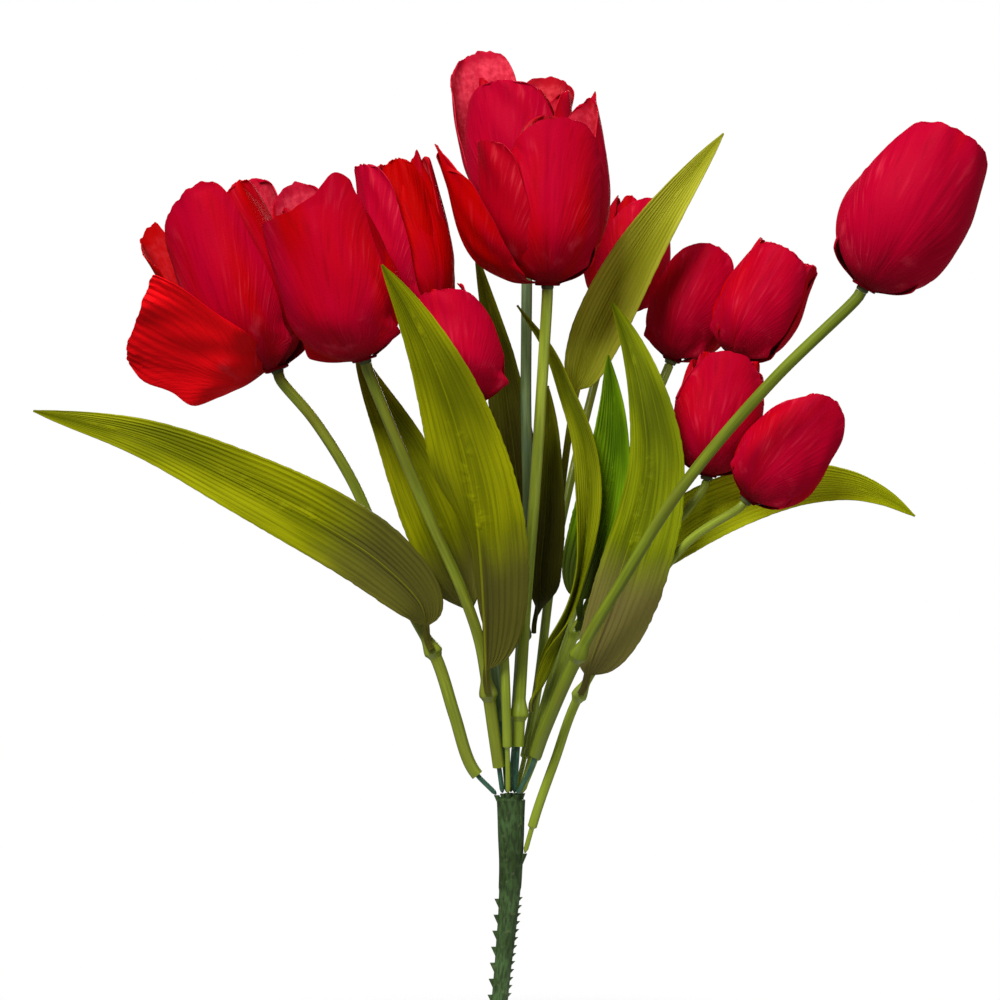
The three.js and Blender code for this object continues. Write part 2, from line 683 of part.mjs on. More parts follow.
// The leaves: the stem whose collar each sits on, the side of it, and the midrib from there to the tip.
const FRONT = [0, -1, 0];
const BACK = [0, 1, 0];
const LEFT = [-1, 0, 0];
const RIGHT = [1, 0, 0];
const LEAVES = [
  {
    name: "leaf_1",
    on: "bloom_1",
    side: FRONT,
    midrib: [
      [-30, -10, 182], [-46, -15, 199], [-65, -19, 212],
      [-99, -24, 230], [-139, -28, 248], [-182, -30, 259],
    ],
    halves: [13, 14],
    folds: [12, 12],
    facing: [FRONT, FRONT],
  },
  {
    name: "leaf_2",
    on: "bloom_3",
    side: LEFT,
    midrib: [
      [-11, -4.5, 180], [-17, -7.5, 196], [-26, -12, 218],
      [-38, -12, 246], [-50, -10, 270], [-57, -8, 286],
    ],
    halves: [11.5, 11.5],
    petiole: 0.14,
    folds: [8, 8],
    facing: [FRONT, FRONT],
  },
  {
    name: "leaf_3",
    on: "bloom_2",
    side: FRONT,
    midrib: [
      [-4.4, -18, 162], [-5.2, -27, 182], [-6.8, -36, 205], [-10, -44, 229],
      [-16, -51, 253], [-24, -58, 276], [-34, -62, 297], [-44, -64, 314],
    ],
    halves: [11, 18],
    folds: [-66, -6],
    facing: [FRONT, FRONT],
  },
  {
    name: "leaf_4",
    on: "bloom_5",
    side: BACK,
    midrib: [
      [8.4, 23, 186], [8.6, 28, 208], [8, 33.5, 232], [5, 38, 258],
      [1.5, 40, 282], [-3.5, 37, 304], [-9, 30, 326],
    ],
    halves: [7.5, 7.5],
    folds: [14, 14],
    facing: [FRONT, [-0.5, -1, 0]],
  },
  {
    name: "leaf_5",
    on: "bud_2",
    side: FRONT,
    midrib: [
      [26, 24, 226], [29, 18, 250], [32.5, 14, 270], [39, 12, 290],
      [53.5, 14, 319], [67, 18, 340], [81, 22, 359], [92, 26, 373],
    ],
    halves: [9.5, 11],
    petiole: 0.28,
    folds: [16, 16],
    facing: [FRONT, FRONT],
  },
  {
    name: "leaf_6",
    on: "bloom_4",
    side: RIGHT,
    midrib: [
      [19.2, -4, 153], [25.2, -5, 168], [31.2, -6, 184], [37.2, -6, 204], [39.6, -6, 228],
      [37.2, -4, 248], [30, -1, 266], [22, 2, 284], [9, 4, 300],
    ],
    halves: [6, 6],
    folds: [48, 48],
    facing: [FRONT, [-0.6, -1, 0]],
  },
  {
    name: "leaf_7",
    on: "bud_4",
    side: FRONT,
    midrib: [
      [33, 2.2, 182], [36, 1.6, 194], [41, 1, 210], [46, 1, 236],
      [47, 2, 262], [43.4, 4, 282], [40, 6, 296],
    ],
    halves: [8, 7],
    petiole: 0.12,
    folds: [20, 20],
    facing: [FRONT, FRONT],
  },
  {
    name: "leaf_8",
    on: "bud_6",
    side: FRONT,
    midrib: [
      [37.2, -19, 161], [43.6, -21, 180], [50, -22, 200], [56, -22.5, 220],
      [59, -22, 240], [57, -19, 264], [52.4, -14, 284], [45.6, -8, 303],
    ],
    halves: [14, 17.5],
    folds: [-24, 8],
    facing: [FRONT, FRONT],
  },
  {
    name: "leaf_9",
    on: "bloom_5",
    side: RIGHT,
    midrib: [
      [16.4, 12, 182], [17.4, 11.5, 196], [19, 11, 214],
      [20.2, 10, 234], [21, 10, 254], [20.5, 10, 270],
    ],
    halves: [5.5, 5.5],
    folds: [15, 15],
    facing: [FRONT, FRONT],
  },
  {
    name: "leaf_10",
    on: "bud_5",
    side: BACK,
    midrib: [
      [60, 5, 198], [68, 6, 207], [82, 7, 217], [100, 7, 225],
      [121, 5, 230], [141, 3, 229.6], [155, 1, 225], [167, -2, 217.6],
    ],
    halves: [9, 8],
    petiole: 0.14,
    folds: [10, 10],
    facing: [FRONT, FRONT],
  },
];

piece("stub", joined([stubTrunk(), ...stubBarbs(), ...STEMS.map(peg)]), STUB_PLASTIC);
BLOOMS.forEach((flower) => {
  sleevedStem(flower);
  bloom(flower);
});
BUDS.forEach((flower) => {
  budStem(flower);
  bud(flower);
});
LEAVES.forEach(leaf);

export default bush;
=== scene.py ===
# A bush of silk tulips: twelve wire-cored stems in one barbed stub, with silk heads and cloth leaves.

import json
import math
from types import SimpleNamespace

import bpy
import numpy as np
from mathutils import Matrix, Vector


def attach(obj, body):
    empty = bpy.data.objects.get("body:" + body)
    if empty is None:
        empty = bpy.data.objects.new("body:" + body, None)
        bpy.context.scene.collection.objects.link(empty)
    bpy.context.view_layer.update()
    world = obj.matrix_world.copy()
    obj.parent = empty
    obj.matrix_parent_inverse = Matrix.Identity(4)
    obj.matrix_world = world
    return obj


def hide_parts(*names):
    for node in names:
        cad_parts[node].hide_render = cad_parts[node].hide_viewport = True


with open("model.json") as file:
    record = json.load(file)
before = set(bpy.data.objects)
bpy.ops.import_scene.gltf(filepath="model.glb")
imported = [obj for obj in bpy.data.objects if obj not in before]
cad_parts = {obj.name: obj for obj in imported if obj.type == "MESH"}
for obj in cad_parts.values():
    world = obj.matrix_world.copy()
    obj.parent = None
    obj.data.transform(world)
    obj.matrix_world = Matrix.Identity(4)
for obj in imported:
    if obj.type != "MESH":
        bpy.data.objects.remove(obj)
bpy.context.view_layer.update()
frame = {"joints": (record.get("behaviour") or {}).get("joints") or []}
scene = bpy.context.scene


# Studio
# A white room with one wide soft light from above and in front, and weaker ones from the right and
# behind. The camera looks level at the bush from 1.6 metres away, and sees the room as plain white.
MM = 0.001
FRAME_WIDTH = 0.4
CAMERA_AWAY = 1.6
CAMERA_AIM = (0.0012, 0, 0.224)
SENSOR = 36
ROOM_STRENGTH = 0.2
LIGHT_SIZE = 0.8
LIGHT_AIM = (0, 0, 0.25)
LIGHTS = {
    "key_light": ((-0.55, -1.2, 1.5), 40),
    "fill_light": ((1.3, -0.9, 0.5), 4),
    "back_light": ((0.4, 1.5, 0.9), 14),
}

camera = bpy.data.objects.new("camera", bpy.data.cameras.new("camera"))
camera.data.sensor_width = SENSOR
camera.data.lens = SENSOR * CAMERA_AWAY / FRAME_WIDTH
camera.location = (CAMERA_AIM[0], CAMERA_AIM[1] - CAMERA_AWAY, CAMERA_AIM[2])
camera.rotation_euler = (math.radians(90), 0, 0)
scene.collection.objects.link(camera)
scene.camera = camera
scene.view_settings.view_transform = "Standard"

sky = bpy.data.worlds.new("sky")
sky.use_nodes = True
sky_nodes, sky_links = sky.node_tree.nodes, sky.node_tree.links
room = sky_nodes["Background"]
room.inputs["Color"].default_value = (1, 1, 1, 1)
room.inputs["Strength"].default_value = ROOM_STRENGTH
paper = sky_nodes.new("ShaderNodeBackground")
paper.inputs["Color"].default_value = (1, 1, 1, 1)
seen = sky_nodes.new("ShaderNodeMixShader")
sky_links.new(sky_nodes.new("ShaderNodeLightPath").outputs["Is Camera Ray"], seen.inputs["Fac"])
sky_links.new(room.outputs["Background"], seen.inputs[1])
sky_links.new(paper.outputs["Background"], seen.inputs[2])
sky_links.new(seen.outputs["Shader"], sky_nodes["World Output"].inputs["Surface"])
scene.world = sky


def soft_light(name, place, power):
    """A square area light at a place, turned to the bush."""
    lamp = bpy.data.lights.new(name, "AREA")
    lamp.size = LIGHT_SIZE
    lamp.energy = power
    holder = bpy.data.objects.new(name, lamp)
    holder.location = place
    towards = Vector(LIGHT_AIM) - Vector(place)
    holder.rotation_euler = towards.to_track_quat("-Z", "Y").to_euler()
    scene.collection.objects.link(holder)


for name, (place, power) in LIGHTS.items():
    soft_light(name, place, power)


# Stub
# One dark green moulding that grips the foot of every wire. Its upper end flares round the wires, and
# its lower part carries saw teeth down two sides, which bite into foam or the packing of a vase.
STUB_LENGTH = 104 * MM
STUB_TOP = 5.4 * MM
STUB_END = 3 * MM
STUB_LEAN = 5.6 * MM
BARBED_FROM = 5 * MM
BARBED_TO = 68 * MM
BARB_PITCH = 3.2 * MM
BARB_HEIGHT = 1.4 * MM
BARB_THICKNESS = 1.4 * MM
BARB_ROOT = 1 * MM
CROWN_RISE = 1.5 * MM
STUB_RINGS = 150
STUB_SIDES = 48
PEG_SIDES = 16
WIRE_RADIUS = 1 * MM
PEG_LENGTH = 3.3 * MM
joints = {joint["name"]: joint for joint in frame["joints"]}


def smoothstep(value, low, high):
    """0 up to low, 1 from high on, and three squares less two cubes of the share between."""
    share = np.clip((value - low) / (high - low), 0, 1)
    return share * share * (3 - 2 * share)


def unit(vectors):
    """Vectors divided by their lengths."""
    return vectors / np.linalg.norm(vectors, axis=-1, keepdims=True)


def turns(count):
    """Angles once round, evenly apart."""
    return np.linspace(0, math.tau, count, endpoint=False)


def circle(sides):
    """Points on a unit circle about +Z."""
    turn = turns(sides)
    return np.stack([np.cos(turn), np.sin(turn), np.zeros_like(turn)], -1)


def quads_of(rows, columns, closed_rows=False, closed_columns=False):
    """The quads of a grid of points, and each corner's row and column counted on past a closed seam."""
    row, column = np.meshgrid(
        np.arange(rows if closed_rows else rows - 1),
        np.arange(columns if closed_columns else columns - 1),
        indexing="ij",
    )
    corner_rows = np.stack([row, row, row + 1, row + 1], -1).reshape(-1, 4)
    corner_columns = np.stack([column, column + 1, column + 1, column], -1).reshape(-1, 4)
    quads = (corner_rows % rows) * columns + corner_columns % columns
    return quads, corner_rows, corner_columns


def tube(rings, along, closed_rows=False):
    """A skin over rings of points. It closes on itself, or ends in two fans about the middles of its
    end rings. The map's u runs once round, and its v is the distance along, in metres."""
    rows, columns = rings.shape[:2]
    quads, corner_rows, corner_columns = quads_of(rows, columns, closed_rows, True)
    stretched = np.append(along, along[-1])
    corner_map = np.stack([corner_columns / columns, stretched[corner_rows]], -1).reshape(-1, 2)
    shape = {"points": rings.reshape(-1, 3), "faces": [quads], "map": corner_map}
    if not closed_rows:
        first = np.arange(columns)
        last = first + (rows - 1) * columns
        tips = np.full(columns, rows * columns)
        low_fan = np.stack([np.roll(first, -1), first, tips], -1)
        high_fan = np.stack([last, np.roll(last, -1), tips + 1], -1)
        shape["points"] = np.concatenate([shape["points"], [rings[0].mean(0)], [rings[-1].mean(0)]])
        shape["faces"] = [quads, low_fan, high_fan]
        fan_u = np.stack([first, first + 1, first + 0.5], -1).ravel() / columns
        low_map = np.stack([fan_u, np.full(3 * columns, along[0])], -1)
        high_map = np.stack([fan_u, np.full(3 * columns, along[-1])], -1)
        shape["map"] = np.concatenate([corner_map, low_map, high_map])
    return shape


def joined(shapes):
    """Several shapes as one, with their points counted on."""
    counts = np.cumsum([0] + [len(shape["points"]) for shape in shapes])
    whole = {
        "points": np.concatenate([shape["points"] for shape in shapes]),
        "faces": [face + start for shape, start in zip(shapes, counts) for face in shape["faces"]],
        "map": np.concatenate([shape["map"] for shape in shapes]),
        "marks": {},
    }
    for key in shapes[0].get("marks", {}):
        whole["marks"][key] = np.concatenate([shape["marks"][key] for shape in shapes])
    return whole


def put_piece(name, shape, material, body, nodes, sharp=50):
    """A shape as an object that rides on a body and stands for CAD nodes. Edges over the sharp angle
    stay crisp."""
    mesh = bpy.data.meshes.new(name)
    corners = np.concatenate([faces.ravel() for faces in shape["faces"]])
    sizes = np.concatenate([np.full(len(faces), faces.shape[1]) for faces in shape["faces"]])
    mesh.vertices.add(len(shape["points"]))
    mesh.vertices.foreach_set("co", shape["points"].astype(np.float32).ravel())
    mesh.loops.add(len(corners))
    mesh.loops.foreach_set("vertex_index", corners.astype(np.int32))
    mesh.polygons.add(len(sizes))
    mesh.polygons.foreach_set("loop_start", (np.cumsum(sizes) - sizes).astype(np.int32))
    mesh.uv_layers.new(name="cut").data.foreach_set("uv", shape["map"].astype(np.float32).ravel())
    for key, values in shape.get("marks", {}).items():
        mesh.attributes.new(key, "FLOAT", "POINT").data.foreach_set("value", values.astype(np.float32))
    mesh.update(calc_edges=True)
    mesh.validate()
    mesh.shade_smooth()
    mesh.set_sharp_from_angle(angle=math.radians(sharp))
    mesh.materials.append(material)
    piece = bpy.data.objects.new(name, mesh)
    scene.collection.objects.link(piece)
    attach(piece, body)
    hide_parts(*nodes)


class Value:
    """A socket in a material. Arithmetic on it adds Math nodes."""

    def __init__(self, paint, socket):
        self.paint = paint
        self.socket = socket

    def math(self, operation, *values):
        return self.paint.node("Math", {"operation": operation}, values)["Value"]

    def __add__(self, other):
        return self.math("ADD", self, other)

    def __sub__(self, other):
        return self.math("SUBTRACT", self, other)

    def __rsub__(self, other):
        return self.math("SUBTRACT", other, self)

    def __mul__(self, other):
        return self.math("MULTIPLY", self, other)

    def __abs__(self):
        return self.math("ABSOLUTE", self)

    def wave(self):
        """A sine between 0 and 1, whose period is 1."""
        return self.math("SINE", self * math.tau) * 0.5 + 0.5

    __radd__ = __add__
    __rmul__ = __mul__


class Paint:
    """A material under way."""

    def __init__(self, name):
        self.material = bpy.data.materials.new(name)
        self.material.use_nodes = True
        self.tree = self.material.node_tree
        self.tree.nodes.clear()

    def node(self, kind, settings=None, places=(), **named):
        """Any node: its settings first, then its sockets in order or by name. Gives its named outputs."""
        made = self.tree.nodes.new("ShaderNode" + kind)
        for key, setting in (settings or {}).items():
            setattr(made, key, setting)
        ready = [socket for socket in made.inputs if socket.enabled]
        by_name = {socket.name.replace(" ", "_"): socket for socket in ready}
        wanted = [*zip(ready, places), *((by_name[key], value) for key, value in named.items())]
        for socket, value in wanted:
            if isinstance(value, Value):
                self.tree.links.new(value.socket, socket)
            else:
                socket.default_value = value
        return {socket.name: Value(self, socket) for socket in made.outputs if socket.enabled}

    def mapped(self):
        """The two numbers of the piece's own map."""
        split = self.node("SeparateXYZ", {}, (self.node("UVMap", {"uv_map": "cut"})["UV"],))
        return split["X"], split["Y"]

    def mark(self, name):
        """A number that the piece's points carry."""
        return self.node("Attribute", {"attribute_name": name})["Fac"]

    def noise(self, scale, detail=2, x=None, y=None, z=0):
        """Noise in object space, or over two numbers where they are given."""
        if x is None:
            place = self.node("TexCoord")["Object"]
        else:
            place = self.node("CombineXYZ", {}, (x, y, z))["Vector"]
        return self.node("TexNoise", {}, Vector=place, Scale=scale, Detail=detail)["Fac"]

    def ramp(self, value, low, high):
        """0 at low and below, 1 at high and above, smooth between."""
        smooth = {"interpolation_type": "SMOOTHSTEP"}
        return self.node("MapRange", smooth, (value, low, high, 0, 1))["Result"]

    def mix(self, share, first, second):
        """One colour passing into another."""
        return self.node("Mix", {"data_type": "RGBA"}, (share, first, second))["Result"]

    def bump(self, height, strength, depth):
        """The normal that a height gives."""
        return self.node("Bump", {}, Strength=strength, Distance=depth, Height=height)["Normal"]

    def done(self, **sockets):
        """The finished material, from its surface's sockets."""
        shader = self.node("BsdfPrincipled", {}, **sockets)["BSDF"]
        self.node("OutputMaterial", {}, (shader,))
        return self.material


def moulded_green():
    """Dark green polythene: cloudy, with fine dark streaks along its length and pale scuffs."""
    paint = Paint("moulded_green")
    around, along = paint.mapped()
    cloud = paint.noise(90, 3)
    streak = paint.noise(1, 3, around * 26, along * 220)
    scuff = paint.ramp(paint.noise(420, 4), 0.58, 0.75)
    green = paint.mix(paint.ramp(cloud, 0.3, 0.7), (0.022, 0.048, 0.008, 1), (0.064, 0.128, 0.036, 1))
    green = paint.mix(paint.ramp(streak, 0.4, 0.65) * 0.7, green, (0.010, 0.019, 0.004, 1))
    green = paint.mix(scuff * 0.4, green, (0.16, 0.19, 0.08, 1))
    rough = 0.42 + 0.2 * cloud + 0.15 * scuff
    relief = paint.bump(cloud * 0.5 + streak * 0.6, 0.5, 0.0004)
    return paint.done(Base_Color=green, Roughness=rough, Normal=relief, Specular_IOR_Level=0.25)


def stub_middle(height):
    """The stub's middle at a height: it leans to the side by a smooth step over its lower four fifths."""
    aside = STUB_LEAN * smoothstep(height, 0, 0.8 * STUB_LENGTH)
    return np.stack([aside, np.zeros_like(height), height], -1)


def stub_radius(height):
    """The end's radius plus the 1.3th power of the share of the height, times the rest."""
    share = np.clip(height / STUB_LENGTH, 0, 1)
    return STUB_END + (STUB_TOP - STUB_END) * share**1.3


def stub_trunk():
    """Rings up the stub, fluted where the moulding runs round the wires, with a step where the teeth
    begin, slow lumps all over and a narrower crown."""
    height = np.linspace(0, STUB_LENGTH, STUB_RINGS)
    up, turn = height[:, None], turns(STUB_SIDES)
    flutes = 0.055 * smoothstep(up, 0.6 * STUB_LENGTH, STUB_LENGTH) * np.cos(10 * turn)
    step = 0.05 * smoothstep(up, BARBED_TO, BARBED_TO + 0.8 * MM)
    lumps = 0.02 * np.sin(210 * up + 2 * np.sin(turn)) * np.cos(2 * turn + 90 * up)
    radius = stub_radius(up) * (0.96 + flutes + step + lumps)
    rings = stub_middle(height)[:, None] + radius[..., None] * circle(STUB_SIDES)
    crown = stub_middle(np.array([STUB_LENGTH]))[:, None] + 0.72 * STUB_TOP * circle(STUB_SIDES)
    crown[..., 2] += CROWN_RISE
    return tube(np.concatenate([rings, crown]), np.append(height, STUB_LENGTH + CROWN_RISE))


def stub_tooth(height, side, pitch):
    """A saw tooth: a three-sided section, its point at the upper end, swept over its thickness."""
    middle = stub_middle(np.array([height]))[0]
    root = stub_radius(np.array([height]))[0] - BARB_ROOT
    reach = np.array([root, root + BARB_ROOT + BARB_HEIGHT, root])
    rise = np.array([0, 0.8 * pitch, 0.8 * pitch])
    share = np.linspace(-0.5, 0.5, 4)
    breadth = share * BARB_THICKNESS
    slim = 1 - 0.25 * (2 * np.abs(share)) ** 3
    across = side * (root + (reach - root)[None] * slim[:, None])
    sweep = np.broadcast_to(side * breadth[:, None], across.shape)
    lift = np.broadcast_to(rise, across.shape)
    rings = middle + np.stack([across, sweep, lift], -1)
    return tube(rings[::-1], breadth)


def stub_pegs():
    """The short peg that each wire leaves the stub through: a straight tube, down and inwards from the
    wire's foot."""
    down = np.linspace(-2 * PEG_LENGTH, -0.3 * MM, 5)
    drop = down[:, None, None]
    pegs = []
    for name, joint in joints.items():
        if name.startswith("bend_"):
            foot = np.array(joint["pos_m"])
            inward = (stub_middle(np.array([foot[2] - 4 * MM]))[0] - foot) * [0.5, 0.5, 0]
            middles = foot + drop / down[0] * inward + drop * [0, 0, 1]
            pegs.append(tube(middles + 1.15 * WIRE_RADIUS * circle(PEG_SIDES), down))
    return pegs


tooth_heights = np.arange(BARBED_FROM, BARBED_TO - BARB_PITCH, BARB_PITCH)
teeth = [stub_tooth(height, 1, BARB_PITCH) for height in tooth_heights]
teeth += [stub_tooth(height, -1, 2 * BARB_PITCH) for height in tooth_heights[1::2]]
stub_shape = joined([stub_trunk(), *teeth, *stub_pegs()])
put_piece("moulded_stub", stub_shape, moulded_green(), "stub", ["stub"], 40)


# Stem lines
# Every stem follows one smooth line from the stub to its flower: a bloom's wire and sleeve share theirs,
# and a bud's stem is a single coated wire. The points are the bends that were put in by hand.
STEM_BENDS = {
    "bloom_1": [[-10, 0.5, 117], [-17, 0, 138], [-24, 0, 160], [-35, -1, 181], [-46.5, -2, 206],
                [-58, -3, 232], [-73, -3.6, 256]],
    "bloom_2": [[1, -4, 116], [-1, -6.5, 130], [-3.6, -9, 148], [-7, -12, 168], [-13, -16, 186],
                [-27, -24, 218]],
    "bloom_3": [[2, -1, 130], [-2.5, -1, 170], [-11, -1, 215]],
    "bloom_4": [[7.8, -2, 118], [9.2, -4, 144], [11.6, -7, 184], [14.8, -9.5, 224]],
    "bloom_5": [[6.2, 4.5, 118], [8.5, 9, 144], [11, 16.5, 184], [12.4, 24, 224], [11.8, 31, 264]],
    "bloom_6": [[13, -8, 116], [19, -16, 133], [32, -28, 163], [48, -39, 191], [71, -51, 228],
                [106, -64, 270]],
    "bud_1": [[4.2, -7, 122], [3, -12, 160], [0, -22, 205]],
    "bud_2": [[11.2, 9, 121], [16.4, 18, 148], [22.4, 31, 194], [31.2, 44, 236]],
    "bud_3": [[13.2, 5.5, 120], [21, 10, 148], [38, 23, 200], [55, 35, 243]],
    "bud_4": [[14, 1.8, 118], [22.5, 5.5, 148], [45, 12, 200], [66, 18, 240]],
    "bud_5": [[14.5, -2.6, 118], [26, -2.8, 148], [45, -5, 180], [66, -5, 208]],
    "bud_6": [[16, -3.5, 100], [23, -6.5, 120], [32, -10, 145], [54, -16, 180], [76, -22, 208]],
}
STRAIGHT = 2.5 * MM
SOCKET_DEPTH = 8 * MM
CLEARANCE = 0.3 * MM
LINE_POINTS = 260
SPAN_POINTS = 40


def hermite(p1, p2, slope1, slope2, t):
    """The cubic that leaves one point with a slope and reaches the next with another, t from 0 to 1."""
    square = 3 * (p2 - p1) - 2 * slope1 - slope2
    cube = 2 * (p1 - p2) + slope1 + slope2
    return p1 + slope1 * t + square * t**2 + cube * t**3


def line_at(points, along, steps):
    """The places at some distances along a line, straight between its points."""
    return np.stack([np.interp(steps, along, points[:, k]) for k in range(3)], -1)


def smooth_line(points, count):
    """A centripetal Catmull-Rom curve through points, at evenly spaced distances along it.
    Each span is a cubic whose end slopes weigh its neighbours by the square roots of the distances."""
    points = np.asarray(points, float)
    padded = np.concatenate([[2 * points[0] - points[1]], points, [2 * points[-1] - points[-2]]])
    p0, p1, p2, p3 = padded[:-3], padded[1:-2], padded[2:-1], padded[3:]
    spans = (p1 - p0, p2 - p1, p3 - p2)
    d0, d1, d2 = (np.sqrt(np.linalg.norm(span, axis=1))[:, None] for span in spans)
    slope1 = d1 * ((p1 - p0) / d0 - (p2 - p0) / (d0 + d1) + (p2 - p1) / d1)
    slope2 = d1 * ((p2 - p1) / d1 - (p3 - p1) / (d1 + d2) + (p3 - p2) / d2)
    t = np.linspace(0, 1, SPAN_POINTS, endpoint=False)[None, :, None]
    curve = hermite(*(end[:, None] for end in (p1, p2, slope1, slope2)), t)
    dense = np.concatenate([curve.reshape(-1, 3), points[-1:]])
    travelled = np.concatenate([[0], np.cumsum(np.linalg.norm(np.diff(dense, axis=0), axis=1))])
    evenly = np.linspace(0, travelled[-1], count)
    return line_at(dense, travelled, evenly), evenly


def stem_line(name):
    """A stem's line: from its foot over its bends, then straight along its flower's axis into the pip."""
    foot = np.array(joints["bend_" + name]["pos_m"])
    base = np.array(joints["turn_" + name]["pos_m"])
    axis = unit(np.array(joints["turn_" + name]["axis"]))
    bends = np.array(STEM_BENDS[name]) * MM
    end = base + axis * (SOCKET_DEPTH - CLEARANCE)
    return smooth_line([foot, *bends, base - axis * STRAIGHT, base, end], LINE_POINTS)


def rings_along(middles, radius, sides):
    """Circles square to a line, each started from the direction nearest to +Y."""
    tangent = unit(np.gradient(middles, axis=0))
    first = unit(np.array([0, 1.0, 0]) - tangent[:, 1:2] * tangent)
    second = np.cross(tangent, first)
    turn = turns(sides)[None, :, None]
    spokes = np.cos(turn) * first[:, None] + np.sin(turn) * second[:, None]
    return middles[:, None] + radius[:, None, None] * spokes


stem_lines = {name: stem_line(name) for name in STEM_BENDS}


# Coated wires
# The wire in each bloom's stem is steel with a dark green plastic coat. It shows only between the stub
# and the sleeve's lower end, and is pushed into the pip's socket at the top.
WIRE_SIDES = 14


def wire_coat():
    """Thin dark green coating with a soft gloss, a little uneven where it was dipped."""
    paint = Paint("wire_coat")
    around, along = paint.mapped()
    uneven = paint.noise(1, 2, around * 5, along * 300)
    green = paint.mix(paint.ramp(uneven, 0.3, 0.7), (0.020, 0.075, 0.045, 1), (0.045, 0.125, 0.070, 1))
    relief = paint.bump(uneven, 0.4, 0.0002)
    return paint.done(Base_Color=green, Roughness=0.28 + 0.2 * uneven, Normal=relief)


def rounded_foot(along):
    """Shares of a wire's radius: it narrows to three tenths at its foot, so that it can bend there."""
    return 0.3 + 0.7 * smoothstep(along, 0, 1.2 * WIRE_RADIUS)


wire_material = wire_coat()
for name in STEM_BENDS:
    if name.startswith("bloom"):
        middles, along = stem_lines[name]
        wire = tube(rings_along(middles, WIRE_RADIUS * rounded_foot(along), WIRE_SIDES), along)
        nodes = [name + "_wire"]
        put_piece(name + "_coated_wire", wire, wire_material, name + "_stalk", nodes)


# Sleeves and bud stems
# A bloom's wire runs in a sleeve of soft light green tubing. A bud's stem is thinner, moulded straight
# onto its wire. Most carry a collar, a bulb with a low lip, that a leaf is pressed onto.
SLEEVE_RADIUS = 2.5 * MM
BORE_RADIUS = WIRE_RADIUS + 0.42 * MM
BUD_STEM_RADIUS = 1.9 * MM
COLLAR_SWELL = 1.3 * MM
COLLAR_LENGTH = 7 * MM
SHOULDER = 0.4 * MM
STEM_STEPS = 110
COLLAR_STEPS = 40
SLEEVE_SIDES = 22
BUD_STEM_SIDES = 18
SLEEVE_STARTS = {
    "bloom_1": 14, "bloom_2": 14, "bloom_3": 32, "bloom_4": 22, "bloom_5": 24, "bloom_6": 22,
}
BUD_STEM_STARTS = {"bud_1": 22, "bud_2": 18, "bud_3": 18, "bud_4": 18, "bud_5": 18, "bud_6": 14}
COLLARS = {
    "bloom_1": 68, "bloom_2": 45, "bloom_3": 60, "bloom_4": 36, "bloom_5": 68, "bloom_6": 70,
    "bud_2": 98, "bud_4": 72, "bud_5": 88, "bud_6": 72,
}
STEM_GREENS = {
    "olive": ((0.285, 0.340, 0.022, 1), (0.150, 0.195, 0.012, 1), (0.185, 0.165, 0.014, 1)),
    "leek": ((0.350, 0.430, 0.035, 1), (0.195, 0.260, 0.014, 1), (0.190, 0.240, 0.030, 1)),
    "teal": ((0.185, 0.270, 0.090, 1), (0.070, 0.120, 0.035, 1), (0.100, 0.170, 0.090, 1)),
    # A darker copy of the olive green: painted shade on bloom_6's sleeve, where the key light falls
    # strongly.
    "shaded_olive": ((0.200, 0.262, 0.012, 1), (0.125, 0.165, 0.007, 1), (0.150, 0.140, 0.010, 1)),
}
SLEEVE_GREENS = {"bloom_1": "olive", "bloom_2": "olive", "bloom_4": "leek", "bloom_6": "shaded_olive"}


def stem_plastic(name, pale, deep, dusk):
    """Soft tubing: drawn streaks run along it, it darkens in patches and deepens towards the stub."""
    paint = Paint(name)
    around, along = paint.mapped()
    streak = paint.noise(1, 3, around * 9, along * 35)
    patch = paint.noise(38, 2)
    foot = 1 - paint.ramp(along, 0.01, 0.09)
    green = paint.mix(paint.ramp(streak, 0.28, 0.72), deep, pale)
    green = paint.mix(paint.ramp(patch, 0.45, 0.75) * 0.55, green, dusk)
    green = paint.mix(foot * 0.45, green, deep)
    relief = paint.bump(streak + 0.4 * paint.noise(260, 2), 0.3, 0.0003)
    rough = 0.27 + 0.16 * patch
    return paint.done(Base_Color=green, Roughness=rough, Normal=relief, Specular_IOR_Level=0.38)


def stem_radius(along, plain, collar):
    """The plain radius, a tenth less above the collar. The collar is a short rise and a long fall, with
    a narrow hump for its lip."""
    if collar is None:
        return np.full(len(along), plain)
    from_lip = (along - collar) / COLLAR_LENGTH + 0.5
    above = smoothstep(from_lip, 0.2, 1.4)
    bulb = smoothstep(from_lip, -0.02, 0.3) * (1 - smoothstep(from_lip, 0.3, 1.3))
    lip = 0.2 * np.exp(-(((from_lip - 0.04) / 0.07) ** 2))
    return plain * (1 - 0.1 * above) + COLLAR_SWELL * (bulb + lip)


def steps_along(start, end, collar):
    """Even distances along a stem, closer round the collar."""
    steps = np.linspace(start, end, STEM_STEPS)
    if collar is None:
        return steps
    low, high = collar - 0.75 * COLLAR_LENGTH, collar + COLLAR_LENGTH
    return np.union1d(steps, np.linspace(low, high, COLLAR_STEPS))


def sleeve(name):
    """The outer wall up from the lower end, then the bore back down, as one closed skin."""
    middles, along = stem_lines[name]
    start = SLEEVE_STARTS[name] * MM - PEG_LENGTH
    collar = COLLARS[name] * MM - PEG_LENGTH
    steps = steps_along(start, along[-1] - SOCKET_DEPTH + 0.8 * CLEARANCE, collar)
    line = line_at(middles, along, steps)
    outer = rings_along(line, stem_radius(steps, SLEEVE_RADIUS, collar), SLEEVE_SIDES)
    bore = rings_along(line, np.full(len(steps), BORE_RADIUS), SLEEVE_SIDES)
    return tube(np.concatenate([outer, bore[::-1]]), np.concatenate([steps, steps[::-1]]), True)


